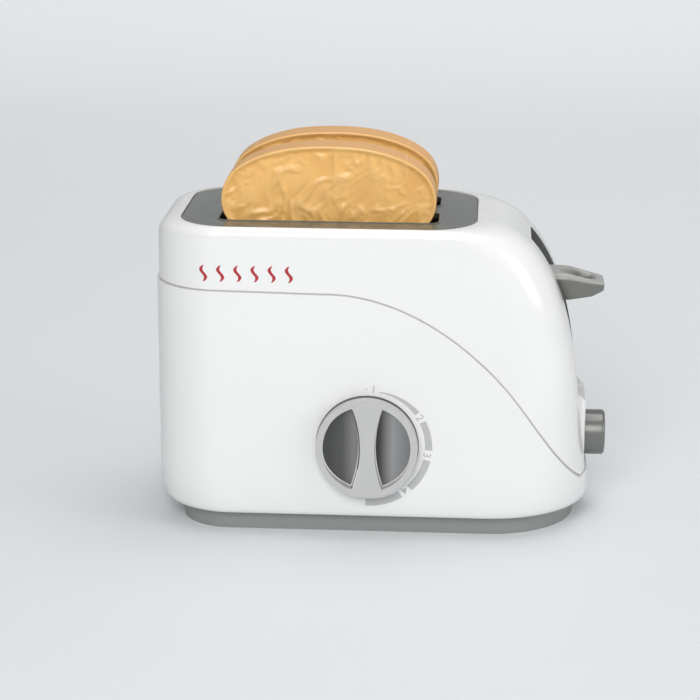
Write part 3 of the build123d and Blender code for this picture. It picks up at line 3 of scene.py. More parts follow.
import bmesh
import bpy
from mathutils import Euler, Matrix, Quaternion, Vector, noise
from mathutils.bvhtree import BVHTree
from mathutils.kdtree import KDTree


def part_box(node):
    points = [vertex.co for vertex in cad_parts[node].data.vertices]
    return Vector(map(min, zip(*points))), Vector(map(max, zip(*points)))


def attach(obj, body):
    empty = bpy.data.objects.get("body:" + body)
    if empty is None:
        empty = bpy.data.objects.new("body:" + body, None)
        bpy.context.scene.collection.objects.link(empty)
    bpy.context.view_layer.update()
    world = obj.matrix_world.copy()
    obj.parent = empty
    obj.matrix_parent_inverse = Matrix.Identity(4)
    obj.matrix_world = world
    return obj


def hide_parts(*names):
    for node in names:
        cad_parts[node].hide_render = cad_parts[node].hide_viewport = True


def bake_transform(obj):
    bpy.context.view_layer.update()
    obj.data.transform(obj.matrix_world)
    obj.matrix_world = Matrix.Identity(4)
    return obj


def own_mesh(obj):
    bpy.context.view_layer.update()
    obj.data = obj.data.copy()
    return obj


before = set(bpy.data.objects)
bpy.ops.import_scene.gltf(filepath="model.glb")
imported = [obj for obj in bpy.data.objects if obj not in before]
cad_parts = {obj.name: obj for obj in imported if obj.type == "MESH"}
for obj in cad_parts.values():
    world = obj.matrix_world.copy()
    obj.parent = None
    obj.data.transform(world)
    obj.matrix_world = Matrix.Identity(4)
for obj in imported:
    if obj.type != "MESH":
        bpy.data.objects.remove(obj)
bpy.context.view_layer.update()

# ---------------------------------------------------------------- camera
# A product shot from a little to the right of the front and about 16 degrees above the table.
camera_place = Vector((0.05054, -1.02455, 0.36714))
camera_turn = math.radians(3.56)
camera_tip = math.radians(15.84)
camera_roll = math.radians(0.23)
camera_lens = 114.75
sensor_width = 36.0


def put_in_scene(name, data):
    """Makes an object of a camera, a lamp or a mesh and puts it in the scene."""
    thing = bpy.data.objects.new(name, data)
    bpy.context.scene.collection.objects.link(thing)
    return thing


camera_data = bpy.data.cameras.new("product_camera")
camera_data.lens = camera_lens
camera_data.sensor_width = sensor_width
camera = put_in_scene("product_camera", camera_data)
look = Euler((math.pi / 2 - camera_tip, 0.0, camera_turn)).to_matrix()
look = look @ Matrix.Rotation(camera_roll, 3, "Z")
camera.matrix_world = Matrix.Translation(camera_place) @ look.to_4x4()
bpy.context.scene.camera = camera

# ---------------------------------------------------------------- table, backdrop and light
# Pale seamless paper that sweeps up behind the toy, one large soft lamp above the camera,
# weaker ones on the right and overhead, and a room that is darker on the left.
paper_half = 1.6
paper_front = -1.4
paper_top = 1.6
wall_distance = 1.1
sweep_radius = 0.5
sweep_steps = 12
paper_colour = (0.70, 0.72, 0.74, 1)
paper_glow = (0.04, 0.36)  # how much lighter the camera sees the paper, near and far
paper_fade = (-0.1, 1.5)  # and where near and far are
room_light = (0.22, 0.42)  # on the left and on the right
room_fade = (-0.9, 0.2)
room_seen = 0.4  # the camera sees the room this much lighter
# Each lamp: its name, place, width and power. All of them point at the middle of the toy.
lamps = (
    ("key_lamp", (-0.2, -1.45, 1.0), 0.8, 16.2),
    ("side_lamp", (1.2, -0.45, 0.5), 0.5, 3.4),
    ("top_lamp", (0.15, 0.15, 1.3), 0.8, 4.8),
)
lamp_target = Vector((0, 0, 0.08))


def mesh_of(piece, name):
    """Turns a bmesh into a mesh and frees it."""
    mesh = bpy.data.meshes.new(name)
    piece.to_mesh(mesh)
    piece.free()
    return mesh


def along_axis(tree, axis, space="Object"):
    """A point's coordinate along one axis, as a socket."""
    place = tree.nodes.new("ShaderNodeTexCoord")
    split = tree.nodes.new("ShaderNodeSeparateXYZ")
    tree.links.new(place.outputs[space], split.inputs[0])
    return split.outputs[axis]


def mapped(tree, value, low, high, to_low=0.0, to_high=1.0):
    """A value carried from one range to another and held at its ends, as a socket."""
    node = tree.nodes.new("ShaderNodeMapRange")
    for socket, number in (
        ("From Min", low), ("From Max", high), ("To Min", to_low), ("To Max", to_high),
    ):
        node.inputs[socket].default_value = number
    tree.links.new(value, node.inputs["Value"])
    return node.outputs[0]


def computed(tree, operation, *values):
    """The result of a math node, as a socket; each value is a number or a socket."""
    node = tree.nodes.new("ShaderNodeMath")
    node.operation = operation
    for socket, value in zip(node.inputs, values):
        if isinstance(value, (int, float)):
            socket.default_value = value
        else:
            tree.links.new(value, socket)
    return node.outputs[0]


def seen_by_camera(tree):
    """1 where the camera looks straight at something and 0 in reflections, as a socket."""
    return tree.nodes.new("ShaderNodeLightPath").outputs["Is Camera Ray"]


paper = bmesh.new()
profile = [paper.verts.new((-paper_half, y, 0.0)) for y in (paper_front, wall_distance)]
for step in range(1, sweep_steps + 1):
    bend = math.pi / 2 * step / sweep_steps
    rise = sweep_radius * (1 - math.cos(bend))
    profile.append(
        paper.verts.new((-paper_half, wall_distance + sweep_radius * math.sin(bend), rise))
    )
profile.append(paper.verts.new((-paper_half, wall_distance + sweep_radius, paper_top)))
paper_edges = [paper.edges.new(pair) for pair in zip(profile, profile[1:])]
swept = bmesh.ops.extrude_edge_only(paper, edges=paper_edges)
moved = [v for v in swept["geom"] if isinstance(v, bmesh.types.BMVert)]
bmesh.ops.translate(paper, verts=moved, vec=(2 * paper_half, 0, 0))
bmesh.ops.recalc_face_normals(paper, faces=paper.faces)
for face in paper.faces:
    face.smooth = True
backdrop = put_in_scene("backdrop_paper", mesh_of(paper, "backdrop_paper"))

paper_look = bpy.data.materials.new("backdrop_paper")
paper_look.use_nodes = True
tree = paper_look.node_tree
shader = tree.nodes["Principled BSDF"]
shader.inputs["Base Color"].default_value = paper_colour
shader.inputs["Roughness"].default_value = 0.7
shader.inputs["Emission Color"].default_value = (1, 1, 1, 1)
fade = mapped(tree, along_axis(tree, "Y"), *paper_fade, *paper_glow)
glow = computed(tree, "MULTIPLY", seen_by_camera(tree), fade)
tree.links.new(glow, shader.inputs["Emission Strength"])
backdrop.data.materials.append(paper_look)

world = bpy.data.worlds.new("studio_room")
bpy.context.scene.world = world
world.use_nodes = True
room = world.node_tree
falloff = mapped(room, along_axis(room, "X", "Generated"), *room_fade, *room_light)
strength = computed(room, "MULTIPLY_ADD", seen_by_camera(room), room_seen, falloff)
room.nodes["Background"].inputs["Color"].default_value = (1.0, 1.0, 1.0, 1)
room.links.new(strength, room.nodes["Background"].inputs["Strength"])

for lamp_name, place, width, power in lamps:
    lamp_data = bpy.data.lights.new(lamp_name, "AREA")
    lamp_data.shape = "SQUARE"
    lamp_data.size = width
    lamp_data.energy = power
    lamp = put_in_scene(lamp_name, lamp_data)
    aim = (lamp_target - Vector(place)).to_track_quat("-Z", "Y")
    lamp.matrix_world = Matrix.Translation(place) @ aim.to_matrix().to_4x4()

bpy.context.scene.view_settings.view_transform = "Standard"

# ---------------------------------------------------------------- white body shells
# Two injection-moulded halves in glossy white ABS, screwed together along the middle.
# A hairline shows where they meet. The swoosh groove is duller inside and painted grey, and the
# walls of the lever's channel are painted nearly black: both are painted shade where shadow falls
# in them.
parting_half = 0.00012
channel_half = 0.0136
channel_back = 0.0712
channel_bottom = 0.0605
channel_top = 0.1400
groove_width = 0.0009
clear_of_face = 0.00003


def moulded_skin():
    """Node group for moulded plastic: fine grain, slow waviness and uneven polish."""
    group = bpy.data.node_groups.new("moulded_skin", "ShaderNodeTree")
    for socket_name, value in (
        ("Grain Scale", 900.0), ("Grain Depth", 0.05), ("Wave Scale", 18.0),
        ("Wave Depth", 0.05), ("Polish", 0.25), ("Polish Spread", 0.06), ("Tone Spread", 0.03),
    ):
        socket = group.interface.new_socket(
            socket_name, in_out="INPUT", socket_type="NodeSocketFloat"
        )
        socket.default_value = value
    colour = group.interface.new_socket("Colour", in_out="INPUT", socket_type="NodeSocketColor")
    colour.default_value = (0.8, 0.8, 0.8, 1)
    for socket_name, kind in (("Colour", "Color"), ("Roughness", "Float"), ("Normal", "Vector")):
        group.interface.new_socket(socket_name, in_out="OUTPUT", socket_type="NodeSocket" + kind)
    node = group.nodes.new
    link = group.links.new
    given = node("NodeGroupInput")
    out = node("NodeGroupOutput")
    place = node("ShaderNodeTexCoord")
    grain = node("ShaderNodeTexNoise")
    grain.inputs["Detail"].default_value = 2.0
    wave = node("ShaderNodeTexNoise")
    wave.inputs["Detail"].default_value = 1.0
    fine = node("ShaderNodeBump")
    fine.inputs["Distance"].default_value = 0.0002
    slow = node("ShaderNodeBump")
    slow.inputs["Distance"].default_value = 0.001
    for texture, scale, bump, depth in (
        (grain, "Grain Scale", fine, "Grain Depth"), (wave, "Wave Scale", slow, "Wave Depth"),
    ):
        link(place.outputs["Object"], texture.inputs["Vector"])
        link(given.outputs[scale], texture.inputs["Scale"])
        link(given.outputs[depth], bump.inputs["Strength"])
        link(texture.outputs["Fac"], bump.inputs["Height"])
    link(fine.outputs["Normal"], slow.inputs["Normal"])
    link(slow.outputs["Normal"], out.inputs["Normal"])
    centred = computed(group, "SUBTRACT", wave.outputs["Fac"], 0.5)
    polish = computed(
        group, "MULTIPLY_ADD", centred, given.outputs["Polish Spread"], given.outputs["Polish"]
    )
    link(polish, out.inputs["Roughness"])
    tone = computed(group, "MULTIPLY_ADD", centred, given.outputs["Tone Spread"], 1.0)
    shade = node("ShaderNodeHueSaturation")
    link(given.outputs["Colour"], shade.inputs["Color"])
    link(tone, shade.inputs["Value"])
    link(shade.outputs["Color"], out.inputs["Colour"])
    return group


moulded = moulded_skin()


def plastic(name, colour, polish, grain_depth=0.05, wave_depth=0.05, metallic=0.0, coat=0.0):
    """A moulded plastic made with the skin group; the colour is linear."""
    material = bpy.data.materials.new(name)
    material.use_nodes = True
    tree = material.node_tree
    skin = tree.nodes.new("ShaderNodeGroup")
    skin.node_tree = moulded
    skin.inputs["Colour"].default_value = (*colour, 1)
    skin.inputs["Polish"].default_value = polish
    skin.inputs["Grain Depth"].default_value = grain_depth
    skin.inputs["Wave Depth"].default_value = wave_depth
    bsdf = tree.nodes["Principled BSDF"]
    bsdf.inputs["Metallic"].default_value = metallic
    bsdf.inputs["Coat Weight"].default_value = coat
    tree.links.new(skin.outputs["Colour"], bsdf.inputs["Base Color"])
    tree.links.new(skin.outputs["Roughness"], bsdf.inputs["Roughness"])
    tree.links.new(skin.outputs["Normal"], bsdf.inputs["Normal"])
    return material


def skin_of(material):
    """The skin group's node in a plastic."""
    return next(node for node in material.node_tree.nodes if node.type == "GROUP")


def mixed(tree, factor, below, above):
    """One colour over another, as a socket; below is a colour or a socket."""
    mix = tree.nodes.new("ShaderNodeMix")
    mix.data_type = "RGBA"
    mix.inputs["B"].default_value = (*above, 1)
    tree.links.new(factor, mix.inputs["Factor"])
    if isinstance(below, tuple):
        mix.inputs["A"].default_value = (*below, 1)
    else:
        tree.links.new(below, mix.inputs["A"])
    return mix.outputs["Result"]


def dress(node_name, material):
    """Gives a CAD node its material."""
    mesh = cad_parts[node_name].data
    mesh.materials.clear()
    mesh.materials.append(material)


def merged_copy(node_name, flat_join=0.2):
    """The mesh of a CAD node with its loose triangles merged and its flat faces joined."""
    piece = bmesh.new()
    piece.from_mesh(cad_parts[node_name].data)
    bmesh.ops.remove_doubles(piece, verts=piece.verts, dist=1e-6)
    if flat_join:
        bmesh.ops.dissolve_limit(
            piece, angle_limit=math.radians(flat_join), verts=piece.verts, edges=piece.edges
        )
    return piece


def cut_across(piece, spot, normal):
    """Cuts new edges where a plane crosses a piece, and leaves both sides."""
    bmesh.ops.bisect_plane(
        piece, geom=piece.verts[:] + piece.edges[:] + piece.faces[:], dist=1e-6,
        plane_co=spot, plane_no=normal,
    )


def put_on(piece, name, body, *materials, sharp=25.0):
    """Makes a smooth-shaded object of a bmesh and lets it ride on a body, if one is named."""
    for face in piece.faces:
        face.smooth = True
    for seam in piece.edges:
        seam.smooth = seam.is_manifold and seam.calc_face_angle(0) < math.radians(sharp)
    mesh = mesh_of(piece, name)
    for material in materials:
        mesh.materials.append(material)
    finished = put_in_scene(name, mesh)
    if body:
        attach(finished, body)
    return finished


def round_edges(piece, width, angle=25.0):
    """Rounds the edges of a finished piece."""
    rounding = piece.modifiers.new("edge_rounding", "BEVEL")
    rounding.width = width
    rounding.segments = 3
    rounding.limit_method = "ANGLE"
    rounding.angle_limit = math.radians(angle)
    rounding.harden_normals = True


def finished_copy(node_name, body, material, edge=0.0, flat_join=0.2, sharp=25.0):
    """A smooth-shaded copy of a CAD node, with its edges rounded, that replaces the node."""
    merged = merged_copy(node_name, flat_join)
    copy = put_on(merged, node_name + "_finish", body, material, sharp=sharp)
    if edge:
        round_edges(copy, edge, sharp)
    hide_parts(node_name)
    return copy


def in_groove(surface, face):
    """Whether a face is the floor or a wall of a groove no wider than groove_width."""
    start = face.calc_center_median() + face.normal * clear_of_face
    if surface.ray_cast(start, face.normal, groove_width)[0]:
        return True
    across = face.normal.orthogonal().normalized()
    for count in range(6):
        side = Quaternion(face.normal, math.pi * count / 6) @ across
        if all(surface.ray_cast(start, way, groove_width)[0] for way in (side, -side)):
            return True
    return False


def in_channel(face):
    """Whether a face is a wall of the lever's channel, which gets painted shade: a side, the roof
    or the back.
    """
    middle = face.calc_center_median()
    lining = abs(face.normal.y) > 0.9 or face.normal.z < -0.4 or face.normal.x > 0.98
    beside = abs(middle.y) < channel_half and middle.x > channel_back
    return lining and beside and channel_bottom < middle.z < channel_top


white_abs = plastic(
    "white_abs", (0.84, 0.84, 0.835), 0.2, grain_depth=0.02, wave_depth=0.03, coat=0.4
)
tree = white_abs.node_tree
off_middle = computed(tree, "ABSOLUTE", along_axis(tree, "Y"))
on_parting = computed(tree, "LESS_THAN", off_middle, parting_half)
skin_colour = skin_of(white_abs).outputs["Colour"]
parted = mixed(tree, on_parting, skin_colour, (0.42, 0.42, 0.41))
tree.links.new(parted, tree.nodes["Principled BSDF"].inputs["Base Color"])
# Painted shade: the channel's walls nearly black and the groove's faces grey, for the shadow
# inside them.
channel_painted_shade = plastic("channel_painted_shade", (0.11, 0.115, 0.11), 0.35, grain_depth=0.2)
groove_painted_shade = plastic("groove_painted_shade", (0.52, 0.52, 0.52), 0.5, grain_depth=0.2)
for shell_name in ("front_shell", "rear_shell"):
    shell = merged_copy(shell_name, flat_join=0)
    shell_surface = BVHTree.FromBMesh(shell)
    for face in shell.faces:
        # channel walls get the painted shade
        if in_channel(face):
            face.material_index = 1
        # groove faces get the painted grey shade
        elif in_groove(shell_surface, face):
            face.material_index = 2
    finished_shell = put_on(
        shell, shell_name + "_finish", "housing", white_abs, channel_painted_shade, groove_painted_shade
    )
    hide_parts(shell_name)

# ---------------------------------------------------------------- printed marks on the front
# A grey browning scale around the dial and a row of red heat strokes, both pad-printed on the
# front shell. The ink is a film a few hundredths of a millimetre thick that follows the surface.
ink_film = 0.00005
before_panel = -0.2
scale_middle = Vector((-0.0014, 0, 0.0445))
scale_inner = 0.0254
scale_outer = 0.0288
band_full = scale_outer - scale_inner
band_inset = 0.0006
# Each band of the scale: its two ends in degrees clockwise from the top, and its two widths.
bands = (
    (10.5, 54.5, 0.0004, 0.0026), (64.5, 93.5, 0.0030, band_full),
    (103.5, 136.5, band_full, band_full), (147.5, 182.7, band_full, band_full),
)
digit_radius = (scale_inner + scale_outer) / 2
digits = (("1", 4.5), ("2", 59.5), ("3", 98.5), ("4", 142.0))  # and where each one stands
digit_height = 0.0050
digit_boldness = 0.00007
dash_x = -0.0012
dash_length = 0.0012
dash_height = 0.0004
stroke_count = 6
first_stroke = Vector((-0.0770, 0, 0.1245))
stroke_pitch = 0.0078
stroke_height = 0.0076
stroke_width = 0.0017
stroke_sway = 0.0011

panel_mesh = bmesh.new()
panel_mesh.from_mesh(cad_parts["front_shell"].data)
panel = BVHTree.FromBMesh(panel_mesh)
panel_mesh.free()
ink_grey = plastic("ink_grey", (0.50, 0.50, 0.50), 0.35, grain_depth=0.3)
ink_red = plastic("ink_red", (0.44, 0.022, 0.03), 0.35, grain_depth=0.3)


def print_on_panel(flat, name, ink):
    """Lays a flat mesh, drawn in x and z, on the front shell and makes it a film of ink."""
    for vert in flat.verts:
        hit = panel.ray_cast(Vector((vert.co.x, before_panel, vert.co.z)), Vector((0, 1, 0)))[0]
        vert.co.y = hit.y - ink_film / 2
    bmesh.ops.recalc_face_normals(flat, faces=flat.faces)
    if sum(face.normal.y for face in flat.faces) > 0:
        bmesh.ops.reverse_faces(flat, faces=flat.faces)
    bmesh.ops.solidify(flat, geom=flat.faces, thickness=ink_film)
    bmesh.ops.recalc_face_normals(flat, faces=flat.faces)
    return put_on(flat, name, "housing", ink)


def unit_grid(flat, columns, rows):
    """Adds a grid from -0.5 to 0.5 in x and y, and gives its vertices."""
    grid = bmesh.ops.create_grid(flat, x_segments=columns, y_segments=rows, size=0.5)
    return grid["verts"]


scale_print = bmesh.new()
for start, end, first_width, last_width in bands:
    for vert in unit_grid(scale_print, 24, 1):
        share = vert.co.x + 0.5
        turn = math.radians(start + (end - start) * share)
        width = first_width + (last_width - first_width) * share
        radius = scale_inner + band_inset + width * (vert.co.y + 0.5)
        vert.co = scale_middle + Vector((math.sin(turn) * radius, 0, math.cos(turn) * radius))
for vert in unit_grid(scale_print, 1, 1):
    vert.co = scale_middle + Vector(
        (dash_x + vert.co.x * dash_length, 0, digit_radius + vert.co.y * dash_height)
    )
print_on_panel(scale_print, "browning_scale", ink_grey)

for digit, turn_degrees in digits:
    lettering = bpy.data.curves.new("digit_" + digit, "FONT")
    lettering.body = digit
    lettering.size = digit_height
    lettering.align_x = "CENTER"
    lettering.align_y = "CENTER"
    lettering.resolution_u = 4
    lettering.offset = digit_boldness
    drawn = bpy.data.objects.new("digit_" + digit, lettering)
    numeral = bmesh.new()
    numeral.from_mesh(bpy.data.meshes.new_from_object(drawn))
    bpy.data.objects.remove(drawn)
    turn = math.radians(turn_degrees)
    outward = Vector((math.sin(turn), 0, math.cos(turn)))
    along = Vector((math.cos(turn), 0, -math.sin(turn)))
    for vert in numeral.verts:
        vert.co = scale_middle + outward * (digit_radius + vert.co.y) + along * vert.co.x
    print_on_panel(numeral, "scale_digit_" + digit, ink_grey)

heat_strokes = bmesh.new()
for count in range(stroke_count):
    middle = first_stroke + Vector((count * stroke_pitch, 0, 0))
    for vert in unit_grid(heat_strokes, 2, 20):
        share = vert.co.y + 0.5
        taper = 0.35 + 0.65 * math.sin(math.pi * share) ** 0.6 if 0 < share < 1 else 0.3
        sway = stroke_sway * math.sin(2 * math.pi * share)
        vert.co = middle + Vector(
            (sway + vert.co.x * stroke_width * taper, 0, (share - 0.5) * stroke_height)
        )
print_on_panel(heat_strokes, "heat_strokes", ink_red)

# ---------------------------------------------------------------- top plate
# Glossy grey moulded cover around the two bread slots, with a thin raised lip at each slot.
plate_grey = plastic("plate_grey", (0.115, 0.125, 0.112), 0.2, grain_depth=0.06)
finished_copy("top_plate", "housing", plate_grey)

# ---------------------------------------------------------------- bread wells and inner mouldings
# Plain black tubs under the slots, and the grey and black mouldings of the mechanism. Of these
# only the carriage and the frame can be glimpsed from outside.
well_black = plastic("well_black", (0.012, 0.012, 0.012), 0.5, grain_depth=0.4)
finished_copy("bread_wells", "housing", well_black)
inner_grey = plastic("inner_grey", (0.10, 0.105, 0.11), 0.45, grain_depth=0.3)
for inner in ("lift_frame", "dial_shaft", "detent_wheel"):
    dress(inner, inner_grey)
finished_copy("carriage", "carriage", inner_grey, edge=0.0004)
for inner in ("battery_box", "switch_housing", "switch_back", "start_switch"):
    dress(inner, well_black)

# ---------------------------------------------------------------- base tray and battery cover
# Grey moulded tray under the body, with the screwed battery cover set into its underside.
base_grey = plastic("base_grey", (0.275, 0.295, 0.283), 0.38, grain_depth=0.25)
for base_name in ("base_tray", "battery_cover"):
    finished_copy(base_name, "housing", base_grey, edge=0.0003)

# ---------------------------------------------------------------- lever guide and lever
# Grey plate with the lever's slit, at the back of the channel, and the polished grey thumb lever.
# The lever's colour holds painted light: lighter where its surface faces up, a painted highlight,
# and darker in the depth of its thumb hollow, painted shade.
guide_grey = plastic("guide_grey", (0.10, 0.105, 0.10), 0.4, grain_depth=0.25)
finished_copy("lever_guide", "housing", guide_grey, edge=0.0003)

lever_flank = (0.17, 0.175, 0.16)
lever_painted_highlight = (0.34, 0.345, 0.325)
lever_hollow_painted_shade = (0.045, 0.048, 0.042)
skin_grain = 0.0005
soft_passes = 12
thumb_back = 0.0120  # the hollow's middle back from the tip
thumb_reach = Vector((0.0100, 0.0080, 0))
thumb_depth = 0.0024
facing_up = 0.3


def attribute(tree, name):
    """The value that a mesh keeps under a name, as a socket."""
    node = tree.nodes.new("ShaderNodeAttribute")
    node.attribute_name = name
    return node.outputs["Fac"]


def smooth_step(value):
    """Eases from 0 to 1."""
    value = min(1.0, max(0.0, value))
    return value * value * (3 - 2 * value)


lever_grey = plastic("lever_grey", lever_flank, 0.2, grain_depth=0.05, coat=0.3)
tree = lever_grey.node_tree
# Painted light in the colour: a painted highlight on up-facing surfaces and painted shade in the
# thumb hollow.
lever_painted_light = mixed(tree, attribute(tree, "painted_top_highlight"), lever_flank, lever_painted_highlight)
lever_painted_light = mixed(tree, attribute(tree, "painted_hollow_shade"), lever_painted_light, lever_hollow_painted_shade)
tree.links.new(lever_painted_light, skin_of(lever_grey).inputs["Colour"])

lever_object = put_in_scene("lever_blank", mesh_of(merged_copy("lever_knob"), "lever_blank"))
lever_skin = lever_object.modifiers.new("even_skin", "REMESH")
lever_skin.mode = "VOXEL"
lever_skin.voxel_size = skin_grain
lever_flow = lever_object.modifiers.new("flowing_edges", "SMOOTH")
lever_flow.factor = 0.5
lever_flow.iterations = soft_passes
softened = bpy.data.meshes.new_from_object(
    lever_object.evaluated_get(bpy.context.evaluated_depsgraph_get())
)
lever = bmesh.new()
lever.from_mesh(softened)
bpy.data.objects.remove(lever_object)
thumb_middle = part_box("lever_knob")[1][0] - thumb_back
hollow_shade_layer = lever.verts.layers.float.new("painted_hollow_shade")
highlight_layer = lever.verts.layers.float.new("painted_top_highlight")
lever.normal_update()
for vert in lever.verts:
    # painted highlight where the surface faces up
    vert[highlight_layer] = smooth_step(0.5 + 2.5 * vert.normal.z)
    if vert.normal.z > facing_up:
        run = (vert.co.x - thumb_middle) / thumb_reach.x
        side = vert.co.y / thumb_reach.y
        inside = smooth_step(2.0 * (1 - math.hypot(run, side)))
        # painted shade in the hollow, darkest towards the tip and the back
        vert[hollow_shade_layer] = inside * (0.3 + 0.7 * smooth_step(0.5 + 0.5 * run + 0.6 * side))
        vert.co.z -= thumb_depth * inside
lever_finish = put_on(lever, "lever_knob_finish", "carriage", lever_grey, sharp=180.0)
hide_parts("lever_knob")

# ---------------------------------------------------------------- release button
# Round button in silver-grey lacquer over plastic.
silver_lacquer = plastic(
    "silver_lacquer", (0.20, 0.205, 0.195), 0.3, grain_depth=0.1, metallic=0.6
)
finished_copy("release_button", "button", silver_lacquer, edge=0.0006)

# ---------------------------------------------------------------- dial
# Round silver knob with a waisted grip bar between two scoops; the rim and the grip bar are
# sprayed matt silver. The scoops are metal whose colour carries painted shade and painted
# reflection across the knob, inside a lighter strip that is a painted highlight, and the back of
# the skirt is painted black.
dial_low, dial_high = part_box("dial_knob")
dial_middle = Vector(((dial_low[0] + dial_high[0]) / 2, 0, (dial_low[2] + dial_high[2]) / 2))
dial_radius = (dial_high[0] - dial_low[0]) / 2
dial_edge = 0.0004
dial_rim = 0.0028
top_face = 0.00004  # deeper faces than this are in a scoop
scoop_floor = 0.0058
scoop_spare = 0.0003
skirt_depth = 0.0048
skirt_flare = 0.0004
skirt_side = 0.0008
rim_vertex = 0.0004
past_cut = 0.0001
painted_highlight_width = 0.0005
# Painted shade and painted reflection in the scoops, as greys from the left to the right of the
# knob.
scoop_painted_shading = (
    (0.12, 0.075), (0.26, 0.11), (0.38, 0.25), (0.56, 0.015), (0.63, 0.07), (0.75, 0.34),
    (0.90, 0.26),
)


def ramp(tree, value, stops, stepped=False):
    """A run of colours over a value, as a socket; each stop is a place and a colour."""
    node = tree.nodes.new("ShaderNodeValToRGB")
    tones = node.color_ramp
    if stepped:
        tones.interpolation = "CONSTANT"
    tones.elements[0].position = stops[0][0]
    tones.elements[1].position = stops[-1][0]
    for spot, _ in stops[1:-1]:
        tones.elements.new(spot)
    for element, (_, colour) in zip(tones.elements, stops):
        element.color = (*colour, 1)
    tree.links.new(value, node.inputs["Fac"])
    return node.outputs["Color"]


dial_silver = plastic("dial_silver", (0.53, 0.53, 0.53), 0.36, grain_depth=0.1, metallic=0.1)
scoop_metal_painted_shade = plastic("scoop_metal_painted_shade", (0.2, 0.2, 0.2), 0.32, grain_depth=0.1, metallic=0.6)
dial_skirt_painted_shadow = plastic("dial_skirt_painted_shadow", (0.05, 0.05, 0.05), 0.4, grain_depth=0.1)
dial_painted_highlight = plastic("dial_painted_highlight", (0.74, 0.74, 0.74), 0.25, metallic=0.1)
tree = scoop_metal_painted_shade.node_tree
share = mapped(
    tree, along_axis(tree, "X"), dial_middle.x - dial_radius, dial_middle.x + dial_radius
)
scoop_painted_light = ramp(tree, share, [(spot, (grey, grey, grey)) for spot, grey in scoop_painted_shading])
tree.links.new(scoop_painted_light, skin_of(scoop_metal_painted_shade).inputs["Colour"])

dial = merged_copy("dial_knob")
cut_across(dial, (0, dial_low[1] + skirt_depth, 0), (0, 1, 0))
for vert in dial.verts:
    outward = Vector((vert.co.x, 0, vert.co.z)) - dial_middle
    on_rim = outward.length > dial_radius - rim_vertex
    if on_rim and vert.co.y > dial_low[1] + skirt_depth + past_cut:
        vert.co += outward.normalized() * skirt_flare
dial.normal_update()
# Scoop faces get the metal with painted shade and painted reflection.
for face in dial.faces:
    middle = face.calc_center_median()
    from_axis = (Vector((middle.x, 0, middle.z)) - dial_middle).length
    depth = middle.y - dial_low[1]
    in_scoop = top_face < depth < scoop_floor and face.normal.y < -0.02
    if in_scoop and from_axis < dial_radius - dial_rim + scoop_spare:
        face.material_index = 1
    # the back of the skirt: black, a painted shadow in the gap between knob and panel
    elif depth > skirt_depth and from_axis > dial_radius - skirt_side:
        face.material_index = 2
# A lighter strip round each scoop: a painted highlight.
scoop_highlight_strip = bmesh.ops.inset_region(
    dial, faces=[face for face in dial.faces if face.material_index == 1],
    thickness=painted_highlight_width, use_even_offset=False, use_boundary=True,
)
for face in scoop_highlight_strip["faces"]:
    face.material_index = 3
dial_finish = put_on(
    dial, "dial_knob_finish", "dial", dial_silver, scoop_metal_painted_shade, dial_skirt_painted_shadow, dial_painted_highlight
)
round_edges(dial_finish, dial_edge)
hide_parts("dial_knob")

# ---------------------------------------------------------------- bread slices
# Two hollow play-bread mouldings in toasted ABS. The tool embosses folded, wrinkled crumb on both
# faces inside a thin flat rim, and leaves the crust edge smooth.
# Crumb colour follows the fold height: darker in the valleys and lighter on the ridges and the
# flat rim, as painted shade.
crumb_painted_shade_tones = ((0.0, (0.80, 0.43, 0.125)), (0.3, (0.86, 0.50, 0.155)), (0.85, (0.84, 0.50, 0.175)))
crust_colour = (0.75, 0.41, 0.15)
crust_roughness = 0.22  # the crust is this much rougher than the crumb
crust_round = 0.0012
crust_height = 0.8
emboss_step = 0.0009
rim_width = 0.0005
rim_slope = 0.0016
rim_depth = 0.00012
rim_tone = 0.85
fold_depth = 0.0021
fold_lean = math.radians(52)
on_face = 1e-5

bread = plastic("toasted_moulding", crust_colour, 0.34, grain_depth=0.08, coat=0.1)
tree = bread.node_tree
skin = skin_of(bread)
skin.inputs["Tone Spread"].default_value = 0.08
crumb = ramp(tree, attribute(tree, "fold_height"), crumb_painted_shade_tones)
crust = attribute(tree, "crust_edge")
tree.links.new(mixed(tree, crust, crumb, crust_colour), skin.inputs["Colour"])
roughness = computed(tree, "MULTIPLY_ADD", crust, crust_roughness, skin.outputs["Roughness"])
tree.links.new(roughness, tree.nodes["Principled BSDF"].inputs["Roughness"])


def fold_relief(x, z, seed):
    """Height of the crumb's folds, 0 to 1, at a place given in millimetres.

    Large and small ridges lean across the face and come and go in patches; the divisors are the
    folds' lengths and widths in millimetres."""
    place = Vector((x, z, seed))
    bend = 8.0 * noise.noise(place / 22) + 3.0 * noise.noise(place / 8)
    run = x * math.cos(fold_lean) + z * math.sin(fold_lean)
    cross = z * math.cos(fold_lean) - x * math.sin(fold_lean) + bend
    ridge = max(0.0, 1 - abs(noise.noise(Vector((run / 11, cross / 4.6, seed + 3)))) * 4.2)
    small = max(0.0, 1 - abs(noise.noise(Vector((run / 6, cross / 2.9, seed + 9)))) * 4.0)
    patch = smooth_step(0.72 + 1.5 * noise.noise(place / 15 + Vector((5, 5, 5))))
    other_patch = smooth_step(0.42 + 1.6 * noise.noise(place / 11 + Vector((9, 1, 5))))
    swell = 0.5 + 0.7 * noise.noise(place / 13)
    return 0.36 * swell + 0.64 * max(patch * ridge, 0.55 * other_patch * small)


def delete_inner_skin(piece):
    """Deletes all of a hollow piece but the connected skin that reaches furthest right."""
    waiting = set(piece.verts)
    skins = []
    while waiting:
        start = waiting.pop()
        connected = [start]
        for vert in connected:
            for edge in vert.link_edges:
                other = edge.other_vert(vert)
                if other in waiting:
                    waiting.remove(other)
                    connected.append(other)
        skins.append(connected)
    skins.sort(key=lambda connected: max(v.co.x for v in connected))
    for inner in skins[:-1]:
        bmesh.ops.delete(piece, geom=inner, context="VERTS")


